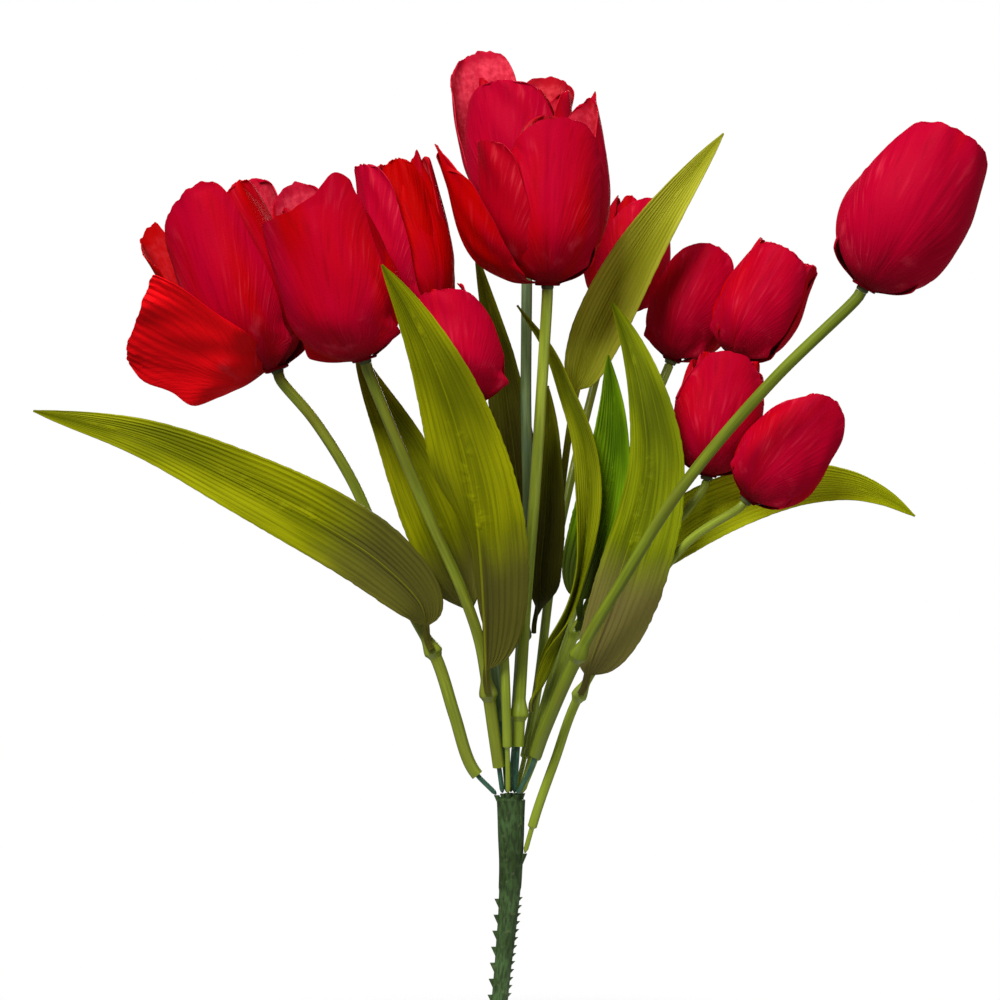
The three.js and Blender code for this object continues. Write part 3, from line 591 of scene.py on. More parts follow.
def bud_stem(name):
    """A thin foot, a shoulder, the moulded stem with any collar, and the thin end that the core takes."""
    middles, along = stem_lines[name]
    start = BUD_STEM_STARTS[name] * MM - PEG_LENGTH
    end = along[-1] - SOCKET_DEPTH
    collar = COLLARS[name] * MM - PEG_LENGTH if name in COLLARS else None
    shoulders = [place + side * SHOULDER for place in (start, end) for side in (-1, 0, 1)]
    steps = np.union1d(steps_along(0, along[-1], collar), shoulders)
    line = line_at(middles, along, steps)
    thick = smoothstep(steps, start - SHOULDER, start + SHOULDER)
    thick = thick * (1 - smoothstep(steps, end - SHOULDER, end + SHOULDER))
    radius = WIRE_RADIUS * rounded_foot(steps)
    radius = radius + thick * (stem_radius(steps, BUD_STEM_RADIUS, collar) - WIRE_RADIUS)
    return tube(rings_along(line, radius, BUD_STEM_SIDES), steps)


stem_materials = {name: stem_plastic("sleeve_" + name, *greens) for name, greens in STEM_GREENS.items()}
for name in SLEEVE_STARTS:
    material = stem_materials[SLEEVE_GREENS.get(name, "teal")]
    nodes = [name + "_sleeve"]
    put_piece(name + "_tubing", sleeve(name), material, name + "_stalk", nodes, 60)
for name in BUD_STEM_STARTS:
    material = stem_materials["leek"]
    nodes = [name + "_stem"]
    put_piece(name + "_wand", bud_stem(name), material, name + "_stalk", nodes, 60)


# Pips and bud cores
# In each flower a turned plastic bead takes the wire in a blind socket. Its neck holds the petals' hubs,
# and its upper end fills the flower; a bud's is fatter, because the closed petals lie against it.
NECK_RADIUS = 2.4
HOLE_RADIUS = 2.7
SOCKET_RADIUS = 1.3
FLANGE = 1.2
BEAD_SIDES = 28
PIP = dict(foot=2.6, grip=4.1, radius=5.2, length=26)
CORE = dict(foot=2.6, grip=4.2, radius=7, length=32)


def seed_green():
    """Dull green plastic, cloudy in two greens."""
    paint = Paint("seed_green")
    cloud = paint.noise(160, 3)
    green = paint.mix(paint.ramp(cloud, 0.3, 0.7), (0.045, 0.060, 0.010, 1), (0.110, 0.120, 0.030, 1))
    rough = 0.5 + 0.2 * cloud
    relief = paint.bump(cloud, 0.4, 0.0004)
    return paint.done(Base_Color=green, Roughness=rough, Normal=relief)


def stand_up(points, name):
    """Points of a flower's own frame, in millimetres, turned to its axis and moved to its base.
    The turn takes +Z to the axis the short way round, about the direction square to both."""
    base = np.array(joints["turn_" + name]["pos_m"])
    axis = unit(np.array(joints["turn_" + name]["axis"]))
    x, y, z = axis
    cross = np.array([[0, 0, x], [0, 0, y], [-x, -y, 0]])
    turn = np.eye(3) + cross + cross @ cross / (1 + z)
    return base + (points * MM) @ turn.T


def lathed(out, up, sides):
    """Rings of points: a profile of distances out and up, turned about +Z."""
    return out[:, None, None] * circle(sides) + up[:, None, None] * [0, 0, 1]


def bead(name, foot, grip, radius, length):
    """A profile turned about the flower's axis: down the socket, out under the foot, in to the neck and
    over the bead."""
    belly = grip + 0.35 * (length - grip)
    swell = np.linspace(0, 1, 14)
    over = grip + (length - grip) * swell
    girth = np.interp(over, [grip, belly, length], [HOLE_RADIUS + 0.6, radius, 0.3])
    girth = girth + 0.18 * radius * np.sin(np.pi * swell)
    lower = [0.05, SOCKET_RADIUS, SOCKET_RADIUS, 0.85 * foot, foot, NECK_RADIUS, NECK_RADIUS]
    out = np.concatenate([lower, girth, [0.02]])
    deep = SOCKET_DEPTH / MM
    up = np.concatenate([[deep, deep, 0, 0, FLANGE, FLANGE, grip], over, [length + 0.3]])
    return tube(stand_up(lathed(out, up, BEAD_SIDES), name), up * MM)


seed_material = seed_green()
for names, node, sizes in ((SLEEVE_STARTS, "_pip", PIP), (BUD_STEM_STARTS, "_core", CORE)):
    for name in names:
        shape = bead(name, **sizes)
        put_piece(name + "_bead", shape, seed_material, name + "_head", [name + node], 40)


# Bloom petals
# A bloom has two sets of three petals. Each set is die-cut with its hub from one sheet of dyed silk,
# stiffened, pressed into a cup between veined moulds, and threaded on the pip. The cut edges stay raw.
BLOOM_LENGTH = 76
BLOOM_RADIUS = 23
INNER_RADIUS = 19.6
CLOTH = 0.45
INNER_SHARE = 0.97
CORNER_AT = 0.28
PETAL_ROWS = 72
PETAL_COLUMNS = 49
OUTER_HUB = dict(hub=5, height=2, thickness=1)
INNER_HUB = dict(hub=4.2, height=3.3, thickness=1)


def silk(name, cool, warm, fresh, pale, shade):
    """Dyed silk: fine veins that fan out from the petal's foot, with painted pale highlights on them in
    patches, bands from crimson to scarlet, painted shade towards the foot with painted pale sheen spots
    above it, and a mottled paler face inside that stops short of the raw edge. Warmth 0 is cool, 1 is
    warm and 2 is a brighter red that is painted light."""
    paint = Paint(name)
    u, v = paint.mapped()
    inside = paint.mark("inside")
    warmth = paint.mark("warmth")
    side = u - 0.5
    off_middle = abs(side) * 2
    fan = side * v.math("EXPONENT", v * -2.6)
    vein = paint.noise(1, 2, fan * 170, v * 5, warmth * 40)
    band = paint.noise(1, 2, u * 3.0, v * 1.2, warmth * 40 + 7)
    patch = paint.ramp(paint.noise(1, 2, u * 2.8, v * 2.8, warmth * 40 + 19), 0.42, 0.66)
    painted_sheen_spots = paint.ramp(paint.noise(1, 3, u * 5, v * 6, warmth * 40 + 31), 0.56, 0.76)
    mottle = paint.noise(420, 3)
    weave = paint.noise(1300, 1)
    glint = paint.ramp(vein, 0.52, 0.76) * patch
    foot = 1 - paint.ramp(v + 0.1 * band, 0.08, 0.36)
    low = paint.ramp(v, 0.14, 0.24) - paint.ramp(v, 0.34, 0.5)
    lining = inside * paint.ramp(v, 0.3, 0.75) * (1 - 0.8 * paint.ramp(v, 0.90, 0.97))
    red = paint.mix(paint.ramp(warmth + 1.6 * (band - 0.5), 0.1, 0.9), cool, warm)
    # Painted light: warmth above 1 moves towards a brighter red, for a petal that catches more light.
    red = paint.mix(paint.ramp(warmth, 1, 2), red, fresh)
    red = paint.mix(paint.ramp(vein, 0.5, 0.25) * 0.24, red, shade)
    # Painted highlight: pale glints along the veins in patches, stronger towards the edges and on cool
    # petals.
    red = paint.mix(glint * (0.26 + 0.24 * off_middle) * (1.1 - warmth), red, pale)
    red = paint.mix(lining * (1.15 - warmth) * (0.35 + 0.6 * paint.ramp(mottle, 0.35, 0.7)), red, pale)
    # Painted shade: the petal darkens with the shade colour towards its foot, where the petals close
    # round the pip.
    red = paint.mix(foot * 0.7, red, shade)
    # Painted sheen: pale spots in a band low on the petal, above its foot.
    red = paint.mix(painted_sheen_spots * low * 0.42, red, pale)
    relief = paint.bump(vein + weave * 0.2, 0.55, 0.0006)
    rough = 0.5 + 0.2 * weave
    return paint.done(Base_Color=red, Roughness=rough, Normal=relief, Specular_IOR_Level=0.03)


def cup_outline(s, hub, radius, length, tip):
    """Distance out and height along a petal's middle: a uniform Catmull-Rom curve over the hub, up the
    side and in to the tip."""
    knots = np.array([
        [hub - 1, 0],
        [0.58 * radius, 0.085 * length],
        [0.93 * radius, 0.27 * length],
        [radius, 0.5 * length],
        [0.45 * radius + 0.55 * tip * radius, 0.8 * length],
        [tip * radius, length],
    ])
    spans = len(knots) - 1
    place = np.clip(s, 0, 1) * spans
    start = np.minimum(place.astype(int), spans - 1)
    t = (place - start)[..., None]
    p0, p1 = knots[np.maximum(start - 1, 0)], knots[start]
    p2, p3 = knots[start + 1], knots[np.minimum(start + 2, spans)]
    point = hermite(p1, p2, (p2 - p0) / 2, (p3 - p1) / 2, t)
    return point[..., 0], point[..., 1]


def sheet(grid, thickness, marks=None):
    """A grid of points given a thickness to both sides along its normals, with a wall round its edge.
    The map's u runs across and its v along. The mark 'inside' is 1 on the back."""
    rows, columns = grid.shape[:2]
    normal = unit(np.cross(np.gradient(grid, axis=1), np.gradient(grid, axis=0)))
    half = np.broadcast_to(thickness / 2, (rows, columns))[..., None]
    points = np.concatenate([grid + normal * half, grid - normal * half]).reshape(-1, 3)
    count = rows * columns
    quads = quads_of(rows, columns)[0]
    index = np.arange(count).reshape(rows, columns)
    rim = np.concatenate([index[0, :-1], index[:-1, -1], index[-1, :0:-1], index[:0:-1, 0]])
    following = np.roll(rim, -1)
    wall = np.stack([following, rim, rim + count, following + count], -1)
    faces = [quads, quads[:, ::-1] + count, wall]
    across, up = np.meshgrid(np.linspace(0, 1, columns), np.linspace(0, 1, rows))
    point_map = np.tile(np.stack([across, up], -1).reshape(-1, 2), (2, 1))
    corner_map = point_map[np.concatenate([face.ravel() for face in faces])]
    both = {"inside": np.repeat([0.0, 1.0], count)}
    for key, value in (marks or {}).items():
        both[key] = np.full(2 * count, value)
    return {"points": points, "faces": faces, "map": corner_map, "marks": both}


def about(points, axis, angle):
    """Points turned about an axis through the origin, by an angle that may differ from point to point."""
    axis = np.asarray(axis, float)
    angle = np.broadcast_to(angle, points.shape[:-1])[..., None]
    along = (points @ axis)[..., None] * axis
    return points * np.cos(angle) + np.cross(axis, points) * np.sin(angle) + along * (1 - np.cos(angle))


def sine(cycles):
    """The sine of a number of whole turns."""
    return np.sin(math.tau * cycles)


PLAIN_PETAL = dict(
    turn=0, lean=2, share=1, twist=0, tip=0.75, spread=57, flat=0, crown=0.04, top=0.28, point=0, peak=0,
    slant=0, tuck=2.2, drop=2.6, flare=2.4, over=0, roll=0.35, ruffle=0.45, pleats=0, crease=0.5,
    dents=0.16, warmth=0.45,
)
PLAIN_INNER = dict(lean=0, tip=0.7, tuck=0.3, drop=0, flare=0)


def petal(seed, radius, length, hub, raised, **changes):
    """A petal on a cup turned about the flower's axis. Its breadth widens from the hub to square lower
    corners, steps in a little above them and closes in an arc at the tip, where a point or a slant can
    be added. The edges tuck in, the lower corners drop and stand off, and waves, dents, pleats and a
    crease move in or out along the cup's radius. Then it leans about the hub's rim, twists about its
    own length and turns to its place."""
    form = SimpleNamespace(**PLAIN_PETAL | changes)
    chance = np.random.default_rng(seed)
    phase = chance.uniform(0, 1, 8)
    s = np.linspace(0, 1, PETAL_ROWS)[:, None]
    v = np.linspace(-1, 1, PETAL_COLUMNS)[None, :]
    fray = 0.005 * sine(2.3 * v + phase[0]) + 0.002 * sine(4.9 * v + phase[6])
    fray = fray + chance.normal(0, 0.0006, v.shape)
    peak = form.point * np.exp(-(np.abs(v - form.peak) / 0.42) ** 1.4)
    top_edge = 1 - form.crown * np.abs(v) ** 2.3 + peak + form.slant * v + fray
    rise = s * (1 + (top_edge - 1) * s**2)
    out, up = cup_outline(rise, hub, radius, length * form.share, form.tip)
    beyond = np.maximum(rise - 1, 0) * length * form.share
    low = np.clip(s / CORNER_AT, 0, 1)
    shoulder = 0.55 + 0.5 * low - 0.08 * smoothstep(s, CORNER_AT, 0.34)
    shoulder = shoulder + 0.03 * smoothstep(s, 0.34, 0.5)
    closing = form.top + (1 - form.top) * np.sqrt(1 - np.clip((s - 0.55) / 0.45, 0, 1) ** 2.4)
    ragged = 1 + chance.normal(0, 0.0022, s.shape) + 0.009 * sine(4.1 * s + phase[7])
    angle = math.radians(form.spread) * shoulder * closing * ragged * v
    edge = smoothstep(np.abs(v), 0.45, 1)
    corner = smoothstep(np.abs(v), 0.6, 1) ** 2 * low**2 * (1 - smoothstep(s, CORNER_AT, 0.36))
    side = edge**1.5 * smoothstep(s, 0.3, 0.45) * (1 - 0.6 * smoothstep(s, 0.75, 1))
    waves = chance.uniform([1.2, 0.5, 0], [3.6, 1.9, 1], (5, 3))[:, :, None, None]
    dents = sine(waves[:, 0] * s + waves[:, 1] * v + waves[:, 2]).sum(0)
    fold = np.exp(-((v / 0.06) ** 2)) * smoothstep(s, 0.1, 0.25) * (1 - 0.8 * s)
    moved = (
        form.flare * corner - form.tuck * side
        + form.roll * edge * sine(0.6 * s + phase[1])
        + form.ruffle * s**3 * sine(1.1 * v + phase[2])
        + 0.6 * form.ruffle * edge * sine(2.6 * s + phase[3])
        + 0.3 * sine(0.9 * s + phase[4]) * np.cos(math.tau * (0.6 * v + phase[5]))
        + form.dents * dents * (1 - 0.5 * edge)
        - form.crease * fold
        + form.pleats * smoothstep(s, 0.55, 1) * sine(7 * v)
    )
    out = out + (moved + form.over) * smoothstep(s, 0.03, 0.12)
    up = up + beyond - form.drop * corner
    swing = math.radians(form.lean)
    flatter = 1 - form.flat * smoothstep(s, 0.1, 0.5)
    reach = out * (1 - flatter * (1 - np.cos(angle))) - hub
    free = np.where(reach > 0, swing, 0)
    leaned = reach * np.cos(free) + up * np.sin(free)
    height = up * np.cos(free) - reach * np.sin(free)
    points = np.stack([leaned, out * np.sin(angle), height], -1)
    twist = math.radians(form.twist) * smoothstep(s, 0, 0.35)
    points = about(points, [math.sin(swing), 0, math.cos(swing)], twist * np.ones_like(v))
    points = points + [hub, 0, raised]
    points = about(points, [0, 0, 1], math.radians(form.turn))
    return points, form.warmth


def petal_hub(name, radius, height, thickness):
    """The disc in the middle of a set: a flat ring round the pip's neck, rounded over at its edge."""
    out = np.array([HOLE_RADIUS, radius - 0.4, radius, radius, radius - 0.4, HOLE_RADIUS])
    up = height + thickness * np.array([-0.5, -0.5, -0.25, 0.25, 0.5, 0.5])
    rings = stand_up(lathed(out, up, BEAD_SIDES), name)
    shape = tube(rings, np.linspace(0, 0.1, len(out)), True)
    count = len(shape["points"])
    shape["marks"] = {"inside": np.zeros(count), "warmth": np.full(count, 0.3)}
    return shape


def petal_set(name, seed, petals, radius, length, hub, height, thickness, raised=0):
    """A hub and its petals, in the flower's place."""
    shapes = [petal_hub(name, hub, height, thickness)]
    for number, changes in enumerate(petals):
        grid, warmth = petal(seed + number, radius, length, hub, height + raised, **changes)
        shapes.append(sheet(stand_up(grid, name), CLOTH * MM, {"warmth": warmth}))
    return joined(shapes)


# A brighter red, painted light, for petals whose warmth is above 1.
LIT_RED = (0.85, 0.003, 0.007, 1)
OUTER_SILK = silk("outer_silk", (0.47, 0.000, 0.022, 1), (0.51, 0.000, 0.000, 1), LIT_RED,
                  (0.80, 0.050, 0.088, 1), (0.130, 0.000, 0.003, 1))
INNER_SILK = silk("inner_silk", (0.42, 0.000, 0.010, 1), (0.47, 0.000, 0.000, 1), LIT_RED,
                  (0.74, 0.050, 0.070, 1), (0.095, 0.000, 0.002, 1))
BLOOMS = {
    "bloom_1": dict(girth=1.03, outer=[
        dict(turn=-119.5, lean=6.8, tip=0.8, warmth=0.35, top=0.77, slant=0.11, crown=0.09, spread=60,
             tuck=0.4, over=0.8, drop=3.7, flare=1),
        dict(turn=66, share=1.035, tip=0.96, warmth=0.3, spread=63, top=0.37, crown=0.08, slant=-0.02),
        # This folded petal has warmth 2: painted light in the brighter red.
        dict(turn=195, lean=38.5, share=0.72, twist=48, tip=1.19, warmth=2, spread=55, flat=0.89,
             tuck=-2, drop=0, flare=0, pleats=0.35, ruffle=0.8, top=0.86, crown=0.03, slant=0.12),
    ], inner=[
        dict(turn=-40),
        dict(turn=80),
        dict(turn=160, lean=16, share=0.98, tip=0.93, warmth=0.9, spread=50, top=0.88, crown=0.06,
             slant=-0.15),
    ]),
    "bloom_2": dict(girth=1.02, outer=[
        dict(turn=-114, lean=2.7, share=0.83, tip=0.91, top=0.93, point=0.19, peak=0.81, slant=0.01,
             crown=0.06, spread=72.5, tuck=0.2, over=0.8, drop=3.5, flare=3.1),
        dict(turn=14, lean=-5, share=0.8, tip=0.7, warmth=0.8, spread=52),
        dict(turn=120, lean=3.5, share=0.97, tip=0.84, warmth=0.2, top=0.73, crown=0.23, slant=-0.1,
             spread=56),
    ], inner=[
        dict(turn=-46, share=0.9),
        dict(turn=74, share=0.86, warmth=0.1),
        dict(turn=194, share=0.86, warmth=0.1),
    ]),
    "bloom_3": dict(girth=0.76, outer=[
        dict(turn=-58, lean=-3.5, share=0.79, tip=0.76, warmth=0.8, point=0.125, peak=0.3, spread=51,
             top=0.56, crown=0.23, drop=0.5, flare=0.7),
        dict(turn=84, share=0.84),
        dict(turn=210, lean=4, share=0.86, warmth=0.1, top=0.45, spread=60, tuck=0.4, over=1),
    ], inner=[
        dict(turn=22, share=0.86),
        dict(turn=142, share=0.86),
        dict(turn=262, share=0.86, warmth=0.9),
    ]),
    "bloom_4": dict(girth=1.02, outer=[
        dict(turn=-90, lean=-1, share=0.84, tip=0.91, crease=1.1, warmth=0.35, top=0.88, crown=0.21,
             slant=0.08, spread=58.5, tuck=0.4, over=0.8, drop=2.3, flare=0),
        dict(turn=30, lean=1, share=0.97, point=0.05, peak=-0.2),
        dict(turn=195, lean=27, share=0.84, warmth=0.75, point=0.06, top=0.2, crown=0.14, spread=52,
             tuck=0.8),
    ], inner=[
        dict(turn=-25, share=0.84),
        dict(turn=95, share=0.9, warmth=0.2),
        dict(turn=206, lean=14, share=0.8, tip=0.8, warmth=0.1, top=0.5, spread=60),
    ]),
    "bloom_5": dict(girth=0.96, outer=[
        dict(turn=-108, lean=0, share=0.74, tip=0.9, warmth=0.1, spread=62, tuck=0.4, over=0.8),
        dict(turn=12, share=0.7, tip=0.9, warmth=0.6, top=0.4),
        dict(turn=121.5, lean=11.3, share=1.03, tip=0.87, crown=0.09, slant=-0.09, top=0.63,
             warmth=0.05, spread=60),
    ], inner=[
        dict(turn=-52, share=0.7),
        dict(turn=33, lean=6, share=0.8, tip=1, top=0.84, crown=0.15, slant=0.158, warmth=0.3,
             spread=69),
        dict(turn=184, share=0.8),
    ]),
    "bloom_6": dict(girth=1.01, outer=[
        dict(turn=-87.5, lean=4.9, share=0.915, tip=0.7, top=0.61, crown=0.08, warmth=0, spread=78,
             tuck=0.77, drop=0, flare=0.3, over=0.8),
        dict(turn=24, lean=0, share=0.85, tip=0.6, top=0.42, crown=0.12, warmth=0.1),
        dict(turn=146, lean=0, share=0.85, tip=0.6, top=0.4, crown=0.12, warmth=0.2),
    ], inner=[
        dict(turn=-30, share=0.82),
        dict(turn=86, share=0.85),
        dict(turn=206, share=0.82),
    ]),
}
for order, (name, bloom) in enumerate(BLOOMS.items()):
    girth, seed, body = bloom["girth"], 100 * order, name + "_head"
    outer = petal_set(name, seed, bloom["outer"], girth * BLOOM_RADIUS, BLOOM_LENGTH, **OUTER_HUB)
    put_piece(name + "_outer_silk", outer, OUTER_SILK, body, [name + "_outer_petals"])
    still = [PLAIN_INNER | changes for changes in bloom["inner"]]
    tall = INNER_SHARE * BLOOM_LENGTH
    inner = petal_set(name, seed + 50, still, girth * INNER_RADIUS, tall, **INNER_HUB)
    put_piece(name + "_inner_silk", inner, INNER_SILK, body, [name + "_inner_petals"])


# Bud petals
# A bud is one six-lobed cut of the same silk, folded at its hub so that three lobes close inside the
# other three.
BUD_LENGTH = 48
BUD_RADIUS = 17.5
BUD_INNER_RADIUS = 14
BUD_HUB = dict(hub=4, height=2.7, thickness=2.4)
LOBE_STEP = 0.6
INSIDE = dict(share=0.92)
BUDS = {
    "bud_1": dict(first=-60, tip=0.5, crown=0.2, lobes=[
        dict(turn=-101.7, share=0.97, tip=0.75, top=0.54, crown=0.07, slant=-0.02, spread=77, drop=2.1,
             flare=2.7),
        INSIDE, INSIDE,
    ]),
    "bud_2": dict(first=-70, tip=0.6, crown=0.1, lobes=[{}, {}, {}]),
    "bud_3": dict(first=-110, tip=0.5, crown=0.2, lobes=[
        dict(turn=-103.4, share=1.006, tip=0.71, top=0.71, crown=0.115, slant=0.034, spread=60,
             drop=2.7),
        INSIDE, INSIDE,
    ]),
    "bud_4": dict(first=-80, tip=0.8, crown=0.05, lobes=[
        dict(turn=-104, spread=62, lean=2), dict(lean=-2), {},
    ]),
    "bud_5": dict(first=-85, tip=0.85, crown=0.05, lobes=[
        dict(turn=-95.4, lean=1, share=1.03, top=0.85, crown=0.325, slant=0.035, spread=76, drop=0.2,
             flare=0.4),
        INSIDE, INSIDE,
    ]),
    "bud_6": dict(first=-95, tip=0.58, crown=0.2, lobes=[
        dict(turn=-98.8, lean=-1.5, share=1.038, tip=0.89, top=0.47, crown=0.176, slant=0.069,
             flare=0.75),
        INSIDE, INSIDE,
    ]),
}


def bud_lobes(first, tip, crown, lobes):
    """The three outer lobes of a bud, a third of a turn apart, and the three inner ones between them."""
    plain = dict(lean=0, tip=tip, crown=crown, ruffle=0.3, tuck=1.6, top=0.4, drop=1.4, flare=1.2)
    outside = [plain | dict(turn=first + turn, warmth=0.3 + turn / 600) for turn in (0, 120, 240)]
    outside[0] = outside[0] | dict(spread=64, tuck=0.2, over=0.7)
    outside = [lobe | changes for lobe, changes in zip(outside, lobes)]
    inside = [plain | dict(turn=first + turn, tuck=0.2, drop=0, flare=0) for turn in (60, 180, 300)]
    return outside, inside


for order, (name, bud) in enumerate(BUDS.items()):
    outside, inside = bud_lobes(**bud)
    seed, tall = 700 + 20 * order, INNER_SHARE * BUD_LENGTH
    outer = petal_set(name, seed, outside, BUD_RADIUS, BUD_LENGTH, raised=-LOBE_STEP, **BUD_HUB)
    inner = petal_set(name, seed + 10, inside, BUD_INNER_RADIUS, tall, raised=LOBE_STEP, **BUD_HUB)
    both = joined([outer, inner])
    put_piece(name + "_silk", both, OUTER_SILK, name + "_head", [name + "_petals"])


# Leaves
# Strap leaves of printed cloth, each with a wire rib glued between its two layers. The rib's foot is
# pressed on a collar. The print has fine lines along the blade, and darkens to brown near the foot.
LEAF_THICKNESS = 0.55 * MM
PETIOLE_WIDTH = 2.8 * MM
FRONT = [0, -1, 0]
LEAF_ROWS = 110
LEAF_COLUMNS = 41
LEAVES = {
    "leaf_1": dict(on="bloom_1", halves=[13, 14], folds=[12, 12], midrib=[
        [-30, -10, 182], [-46, -15, 199], [-65, -19, 212], [-99, -24, 230], [-139, -28, 248],
        [-182, -30, 259],
    ]),
    "leaf_2": dict(on="bloom_3", halves=[11.5, 11.5], folds=[8, 8], petiole=0.14, midrib=[
        [-11, -4.5, 180], [-17, -7.5, 196], [-26, -12, 218], [-38, -12, 246], [-50, -10, 270],
        [-57, -8, 286],
    ]),
    "leaf_3": dict(on="bloom_2", halves=[15, 18], folds=[-78, -6], tip_folds=[-18, -6],
                   petiole=[0.16, 0.06], midrib=[
        [-4.4, -18, 162], [-5.2, -27, 182], [-6.8, -36, 205], [-10, -44, 229], [-16, -51, 253],
        [-24, -59, 276], [-34, -65, 297], [-44, -69, 314],
    ]),
    "leaf_4": dict(on="bloom_5", halves=[9, 9], folds=[14, 14], tip_facing=[-0.5, -1, 0], midrib=[
        [8.4, 23, 186], [8.6, 28, 208], [8, 33.5, 232], [5, 38, 258], [1.5, 40, 282], [-3.5, 37, 304],
        [-9, 30, 326],
    ]),
    "leaf_5": dict(on="bud_2", halves=[9.5, 11], folds=[16, 16], petiole=0.38, midrib=[
        [26, 24, 226], [29, 18, 250], [32.5, 14, 270], [39, 12, 290], [53.5, 14, 319], [67, 18, 340],
        [81, 22, 359], [92, 26, 373],
    ]),
    "leaf_6": dict(on="bloom_4", halves=[6, 6], folds=[76, 76], tip_folds=[24, 24],
                   tip_facing=[-0.6, -1, 0], midrib=[
        [19.2, -4, 153], [25.2, -5, 168], [30.4, -6, 184], [35, -6, 204], [36.6, -6, 228],
        [34.4, -4, 248], [28.4, -1, 266], [21, 2, 284], [8, 4, 302],
    ]),
    "leaf_7": dict(on="bud_4", halves=[12.5, 8], folds=[20, 20], petiole=0.12, midrib=[
        [33, 2.2, 182], [36, 1.6, 194], [41, 1, 210], [46, 1, 236], [47, 2, 260], [44.6, 3, 282],
    ]),
    "leaf_8": dict(on="bud_6", halves=[8, 17.5], folds=[-18, 8], midrib=[
        [37.2, -19, 161], [43.6, -21, 180], [50, -22, 200], [56, -22.5, 220], [59, -22, 240],
        [57, -19, 264], [52.4, -14, 284], [45.6, -8, 303],
    ]),
    "leaf_9": dict(on="bloom_5", halves=[7, 8], folds=[15, 15], midrib=[
        [16.4, 12, 182], [17.4, 11.5, 196], [19, 11, 214], [20.2, 10, 234], [21, 10, 254],
        [20.5, 10, 270],
    ]),
    "leaf_10": dict(on="bud_5", halves=[11, 10], folds=[10, 10], petiole=0.14, midrib=[
        [60, 5, 198], [68, 6, 207], [82, 7, 217], [100, 7, 225], [121, 5, 230], [141, 3, 229.6],
        [155, 1, 225], [167, -2, 217.6],
    ]),
}
BROWN = (0.082, 0.072, 0.016, 1)
PRINTS = {
    "olive": ((0.365, 0.380, 0.001, 1), (0.125, 0.140, 0.000, 1), BROWN, 0.4),
    "earth": ((0.250, 0.300, 0.001, 1), (0.072, 0.094, 0.000, 1), (0.150, 0.118, 0.036, 1), 0.4),
    "plain": ((0.285, 0.310, 0.003, 1), (0.090, 0.110, 0.000, 1), BROWN, 0.05),
    "pale": ((0.490, 0.490, 0.038, 1), (0.280, 0.295, 0.006, 1), (0.160, 0.160, 0.006, 1), 0.4),
    # A lighter copy of the olive print: painted light on leaf_10, which lies in the buds' shade.
    "lit_green": ((0.520, 0.570, 0.003, 1), (0.280, 0.320, 0.001, 1), BROWN, 0.3),
    "fresh": ((0.190, 0.350, 0.002, 1), (0.045, 0.110, 0.000, 1), (0.045, 0.055, 0.010, 1), 0.4),
    # The dusk print is a darker copy of the leaf green: painted shade for leaf_4 and leaf_9 in the bush's
    # middle.
    "dusk": ((0.180, 0.190, 0.004, 1), (0.055, 0.058, 0.000, 1), (0.036, 0.030, 0.004, 1), 0.8),
}
LEAF_PRINTS = {
    "leaf_4": "dusk", "leaf_5": "pale", "leaf_6": "plain", "leaf_7": "fresh", "leaf_8": "earth",
    "leaf_9": "dusk", "leaf_10": "lit_green",
}


def leaf_print(name, bright, deep, brown, brown_to):
    """Printed cloth: fine broken lines along the blade, a pale rib, small creases beside it with a
    painted highlight on them, a satin weave, and a brown foot that ends at a share of the length."""
    paint = Paint(name)
    u, v = paint.mapped()
    side = u - 0.5
    off_rib = abs(side) * 2
    drift = paint.noise(1, 2, u * 2, v * 3, 2.2)
    lines = paint.noise(1, 3, u * 34 + drift * 3, v * 3.5, 4.0)
    ribs = (off_rib * 7 + drift * 1.2).wave()
    cloud = paint.noise(1, 2, u * 1.6, v * 3.2, 8.0)
    beside_rib = paint.ramp(off_rib, 0.5, 0.1)
    crinkle_and_highlight = paint.ramp(paint.noise(1, 2, u * 4, v * 34, 6.0), 0.48, 0.72)
    crinkle_and_highlight = crinkle_and_highlight * paint.ramp(cloud, 0.45, 0.6) * beside_rib
    weave = paint.noise(1500, 1)
    foot = 1 - paint.ramp(v + 0.2 * (cloud - 0.5), 0.6 * brown_to, brown_to)
    rib = 1 - paint.ramp(off_rib, 0.015, 0.06)
    green = paint.mix(paint.ramp(cloud + 0.3 * (off_rib - 0.5), 0.25, 0.8), deep, bright)
    green = paint.mix(paint.ramp(lines, 0.56, 0.34) * 0.6, green, deep)
    green = paint.mix(paint.ramp(lines, 0.60, 0.78) * 0.55, green, bright)
    # Painted highlight: the small creases beside the rib are lightened towards the bright green.
    green = paint.mix(crinkle_and_highlight * 0.35, green, bright)
    green = paint.mix(foot * 0.82, green, brown)
    green = paint.mix(rib * 0.45, green, bright)
    relief = paint.bump(ribs * 0.6 + lines * 1.2 + crinkle_and_highlight * 0.8 + weave * 0.2, 0.6, 0.0007)
    rough = 0.42 + 0.2 * lines
    return paint.done(Base_Color=green, Roughness=rough, Normal=relief, Specular_IOR_Level=0.06)


def leaf_half_width(s, widest, petiole):
    """A sine hump drawn towards the foot, with the petiole's width fading out along it."""
    blade = np.clip((s - petiole) / (1 - petiole), 0, 1)
    hump = np.sin(np.pi * blade**0.58).clip(0) ** 0.75
    return np.maximum(0.35 * MM, PETIOLE_WIDTH / 2 * (1 - blade) + widest * MM * hump)


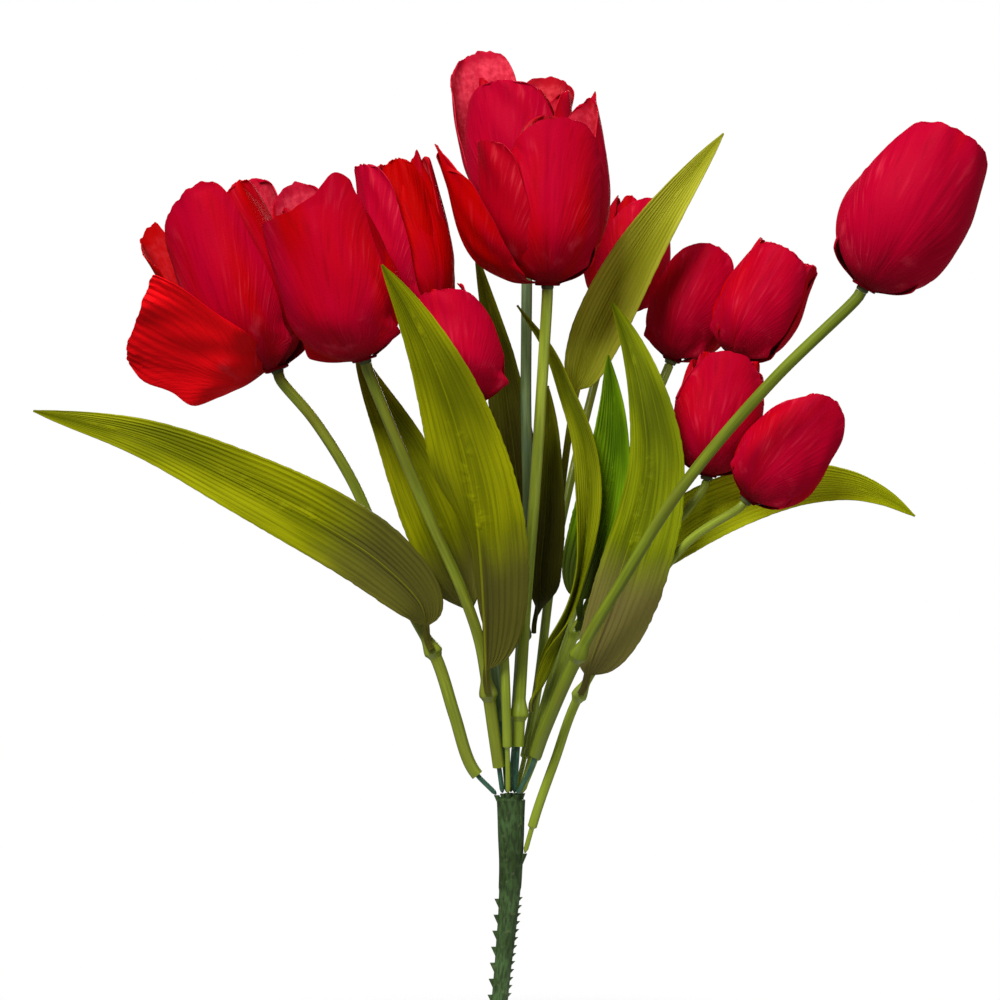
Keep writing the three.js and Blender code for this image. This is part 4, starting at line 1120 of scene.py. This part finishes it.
def leaf_shape(name, on, midrib, halves, folds, tip_folds=None, petiole=0.06, tip_facing=FRONT):
    """Lines across a midrib. Each half starts at its petiole's end, is folded up by its own angle about
    the rib, which may change halfway, waves towards its edge and is thickest at the rib. The blade turns
    from the way its foot faces to the front, and again towards its tip."""
    chance = np.random.default_rng(int(name.split("_")[1]))
    phase = chance.uniform(0, 1, 4)
    foot = np.array(joints["swing_" + name]["pos_m"])
    stem = stem_lines[on][0]
    nearest = np.argmin(np.linalg.norm(stem - foot, axis=1))
    start = unit(stem[nearest + 1] - stem[nearest - 1])
    out = foot - stem[nearest]
    out = unit(out - out.dot(start) * start)
    way = [foot, foot + start * COLLAR_LENGTH / 2, *(np.array(midrib) * MM)]
    middles = smooth_line(way, LEAF_ROWS)[0]
    s = np.linspace(0, 1, LEAF_ROWS)[:, None]
    tangent = unit(np.gradient(middles, axis=0))
    blade, tip = unit(np.array(FRONT, float)), unit(np.array(tip_facing, float))
    foot_face = out * (np.sign(out.dot(blade)) or 1)
    towards = foot_face + (blade - foot_face) * smoothstep(s, 0.04, 0.3)
    towards = towards + (tip - towards) * smoothstep(s, 0.45, 1)
    across = unit(np.cross(tangent, towards))
    face = np.cross(across, tangent)
    share = np.linspace(-1, 1, LEAF_COLUMNS)
    share = (np.sign(share) * np.abs(share) ** 1.25)[None, :]
    opened = smoothstep(s, 0, 0.08)
    starts = np.broadcast_to(petiole, 2)
    widths = [leaf_half_width(s, half, begun) for half, begun in zip(halves, starts)]
    width = np.where(share < 0, *widths)
    pairs = np.radians([folds, tip_folds or folds])
    low_fold, high_fold = (np.where(share < 0, *pair) for pair in pairs)
    fold = (low_fold + (high_fold - low_fold) * smoothstep(s, 0.3, 0.6)) * opened
    ragged = 1 + chance.normal(0, 0.006, s.shape) * np.abs(share) ** 4
    soft = np.sqrt(share**2 + 0.012) - math.sqrt(0.012)
    wave = 0.035 * share**2 * sine(2.2 * s + phase[0] + 0.3 * np.sign(share))
    wave = wave + 0.05 * share * sine(1.1 * s + phase[1])
    sideways = width * share * ragged * np.cos(fold)
    upwards = width * (soft * np.sin(fold) + wave * opened)
    grid = middles[:, None] + across[:, None] * sideways[..., None] + face[:, None] * upwards[..., None]
    rib = np.exp(-((width * share / (1.1 * MM)) ** 2)) * (1.5 - 1.2 * s) * MM
    return sheet(grid, LEAF_THICKNESS + rib)


prints = {name: leaf_print(name + "_print", *greens) for name, greens in PRINTS.items()}
for name, leaf in LEAVES.items():
    material = prints[LEAF_PRINTS.get(name, "olive")]
    shape = leaf_shape(name, **leaf)
    put_piece(name + "_cloth", shape, material, name + "_blade", [name], 60)


# Floor
# A round sheet of pale paper at the height of the stub's lower end, which fades into the white room.
FLOOR_REACH = 0.24
FLOOR_RINGS = 8
FLOOR_SIDES = 96


def pale_paper():
    """Matt paper with a faint tooth, clear towards its edge."""
    paint = Paint("pale_paper")
    place = paint.node("TexCoord")["Object"]
    away = paint.node("VectorMath", {"operation": "LENGTH"}, (place,))["Value"]
    tooth = paint.noise(900, 2)
    white = paint.mix(tooth, (0.88, 0.88, 0.88, 1), (0.93, 0.93, 0.93, 1))
    clear = paint.ramp(away, 0.04, 0.95 * FLOOR_REACH)
    return paint.done(Base_Color=white, Roughness=0.9, Alpha=1 - clear)


floor_out = np.linspace(0.02, FLOOR_REACH, FLOOR_RINGS)
floor_points = lathed(floor_out, np.zeros(FLOOR_RINGS), FLOOR_SIDES).reshape(-1, 3)
floor_quads = quads_of(FLOOR_RINGS, FLOOR_SIDES, False, True)[0][:, ::-1]
floor_faces = floor_quads.tolist() + [list(range(FLOOR_SIDES))]
floor_mesh = bpy.data.meshes.new("floor")
floor_mesh.from_pydata(floor_points.tolist(), [], floor_faces)
floor_mesh.materials.append(pale_paper())
floor = bpy.data.objects.new("floor", floor_mesh)
scene.collection.objects.link(floor)
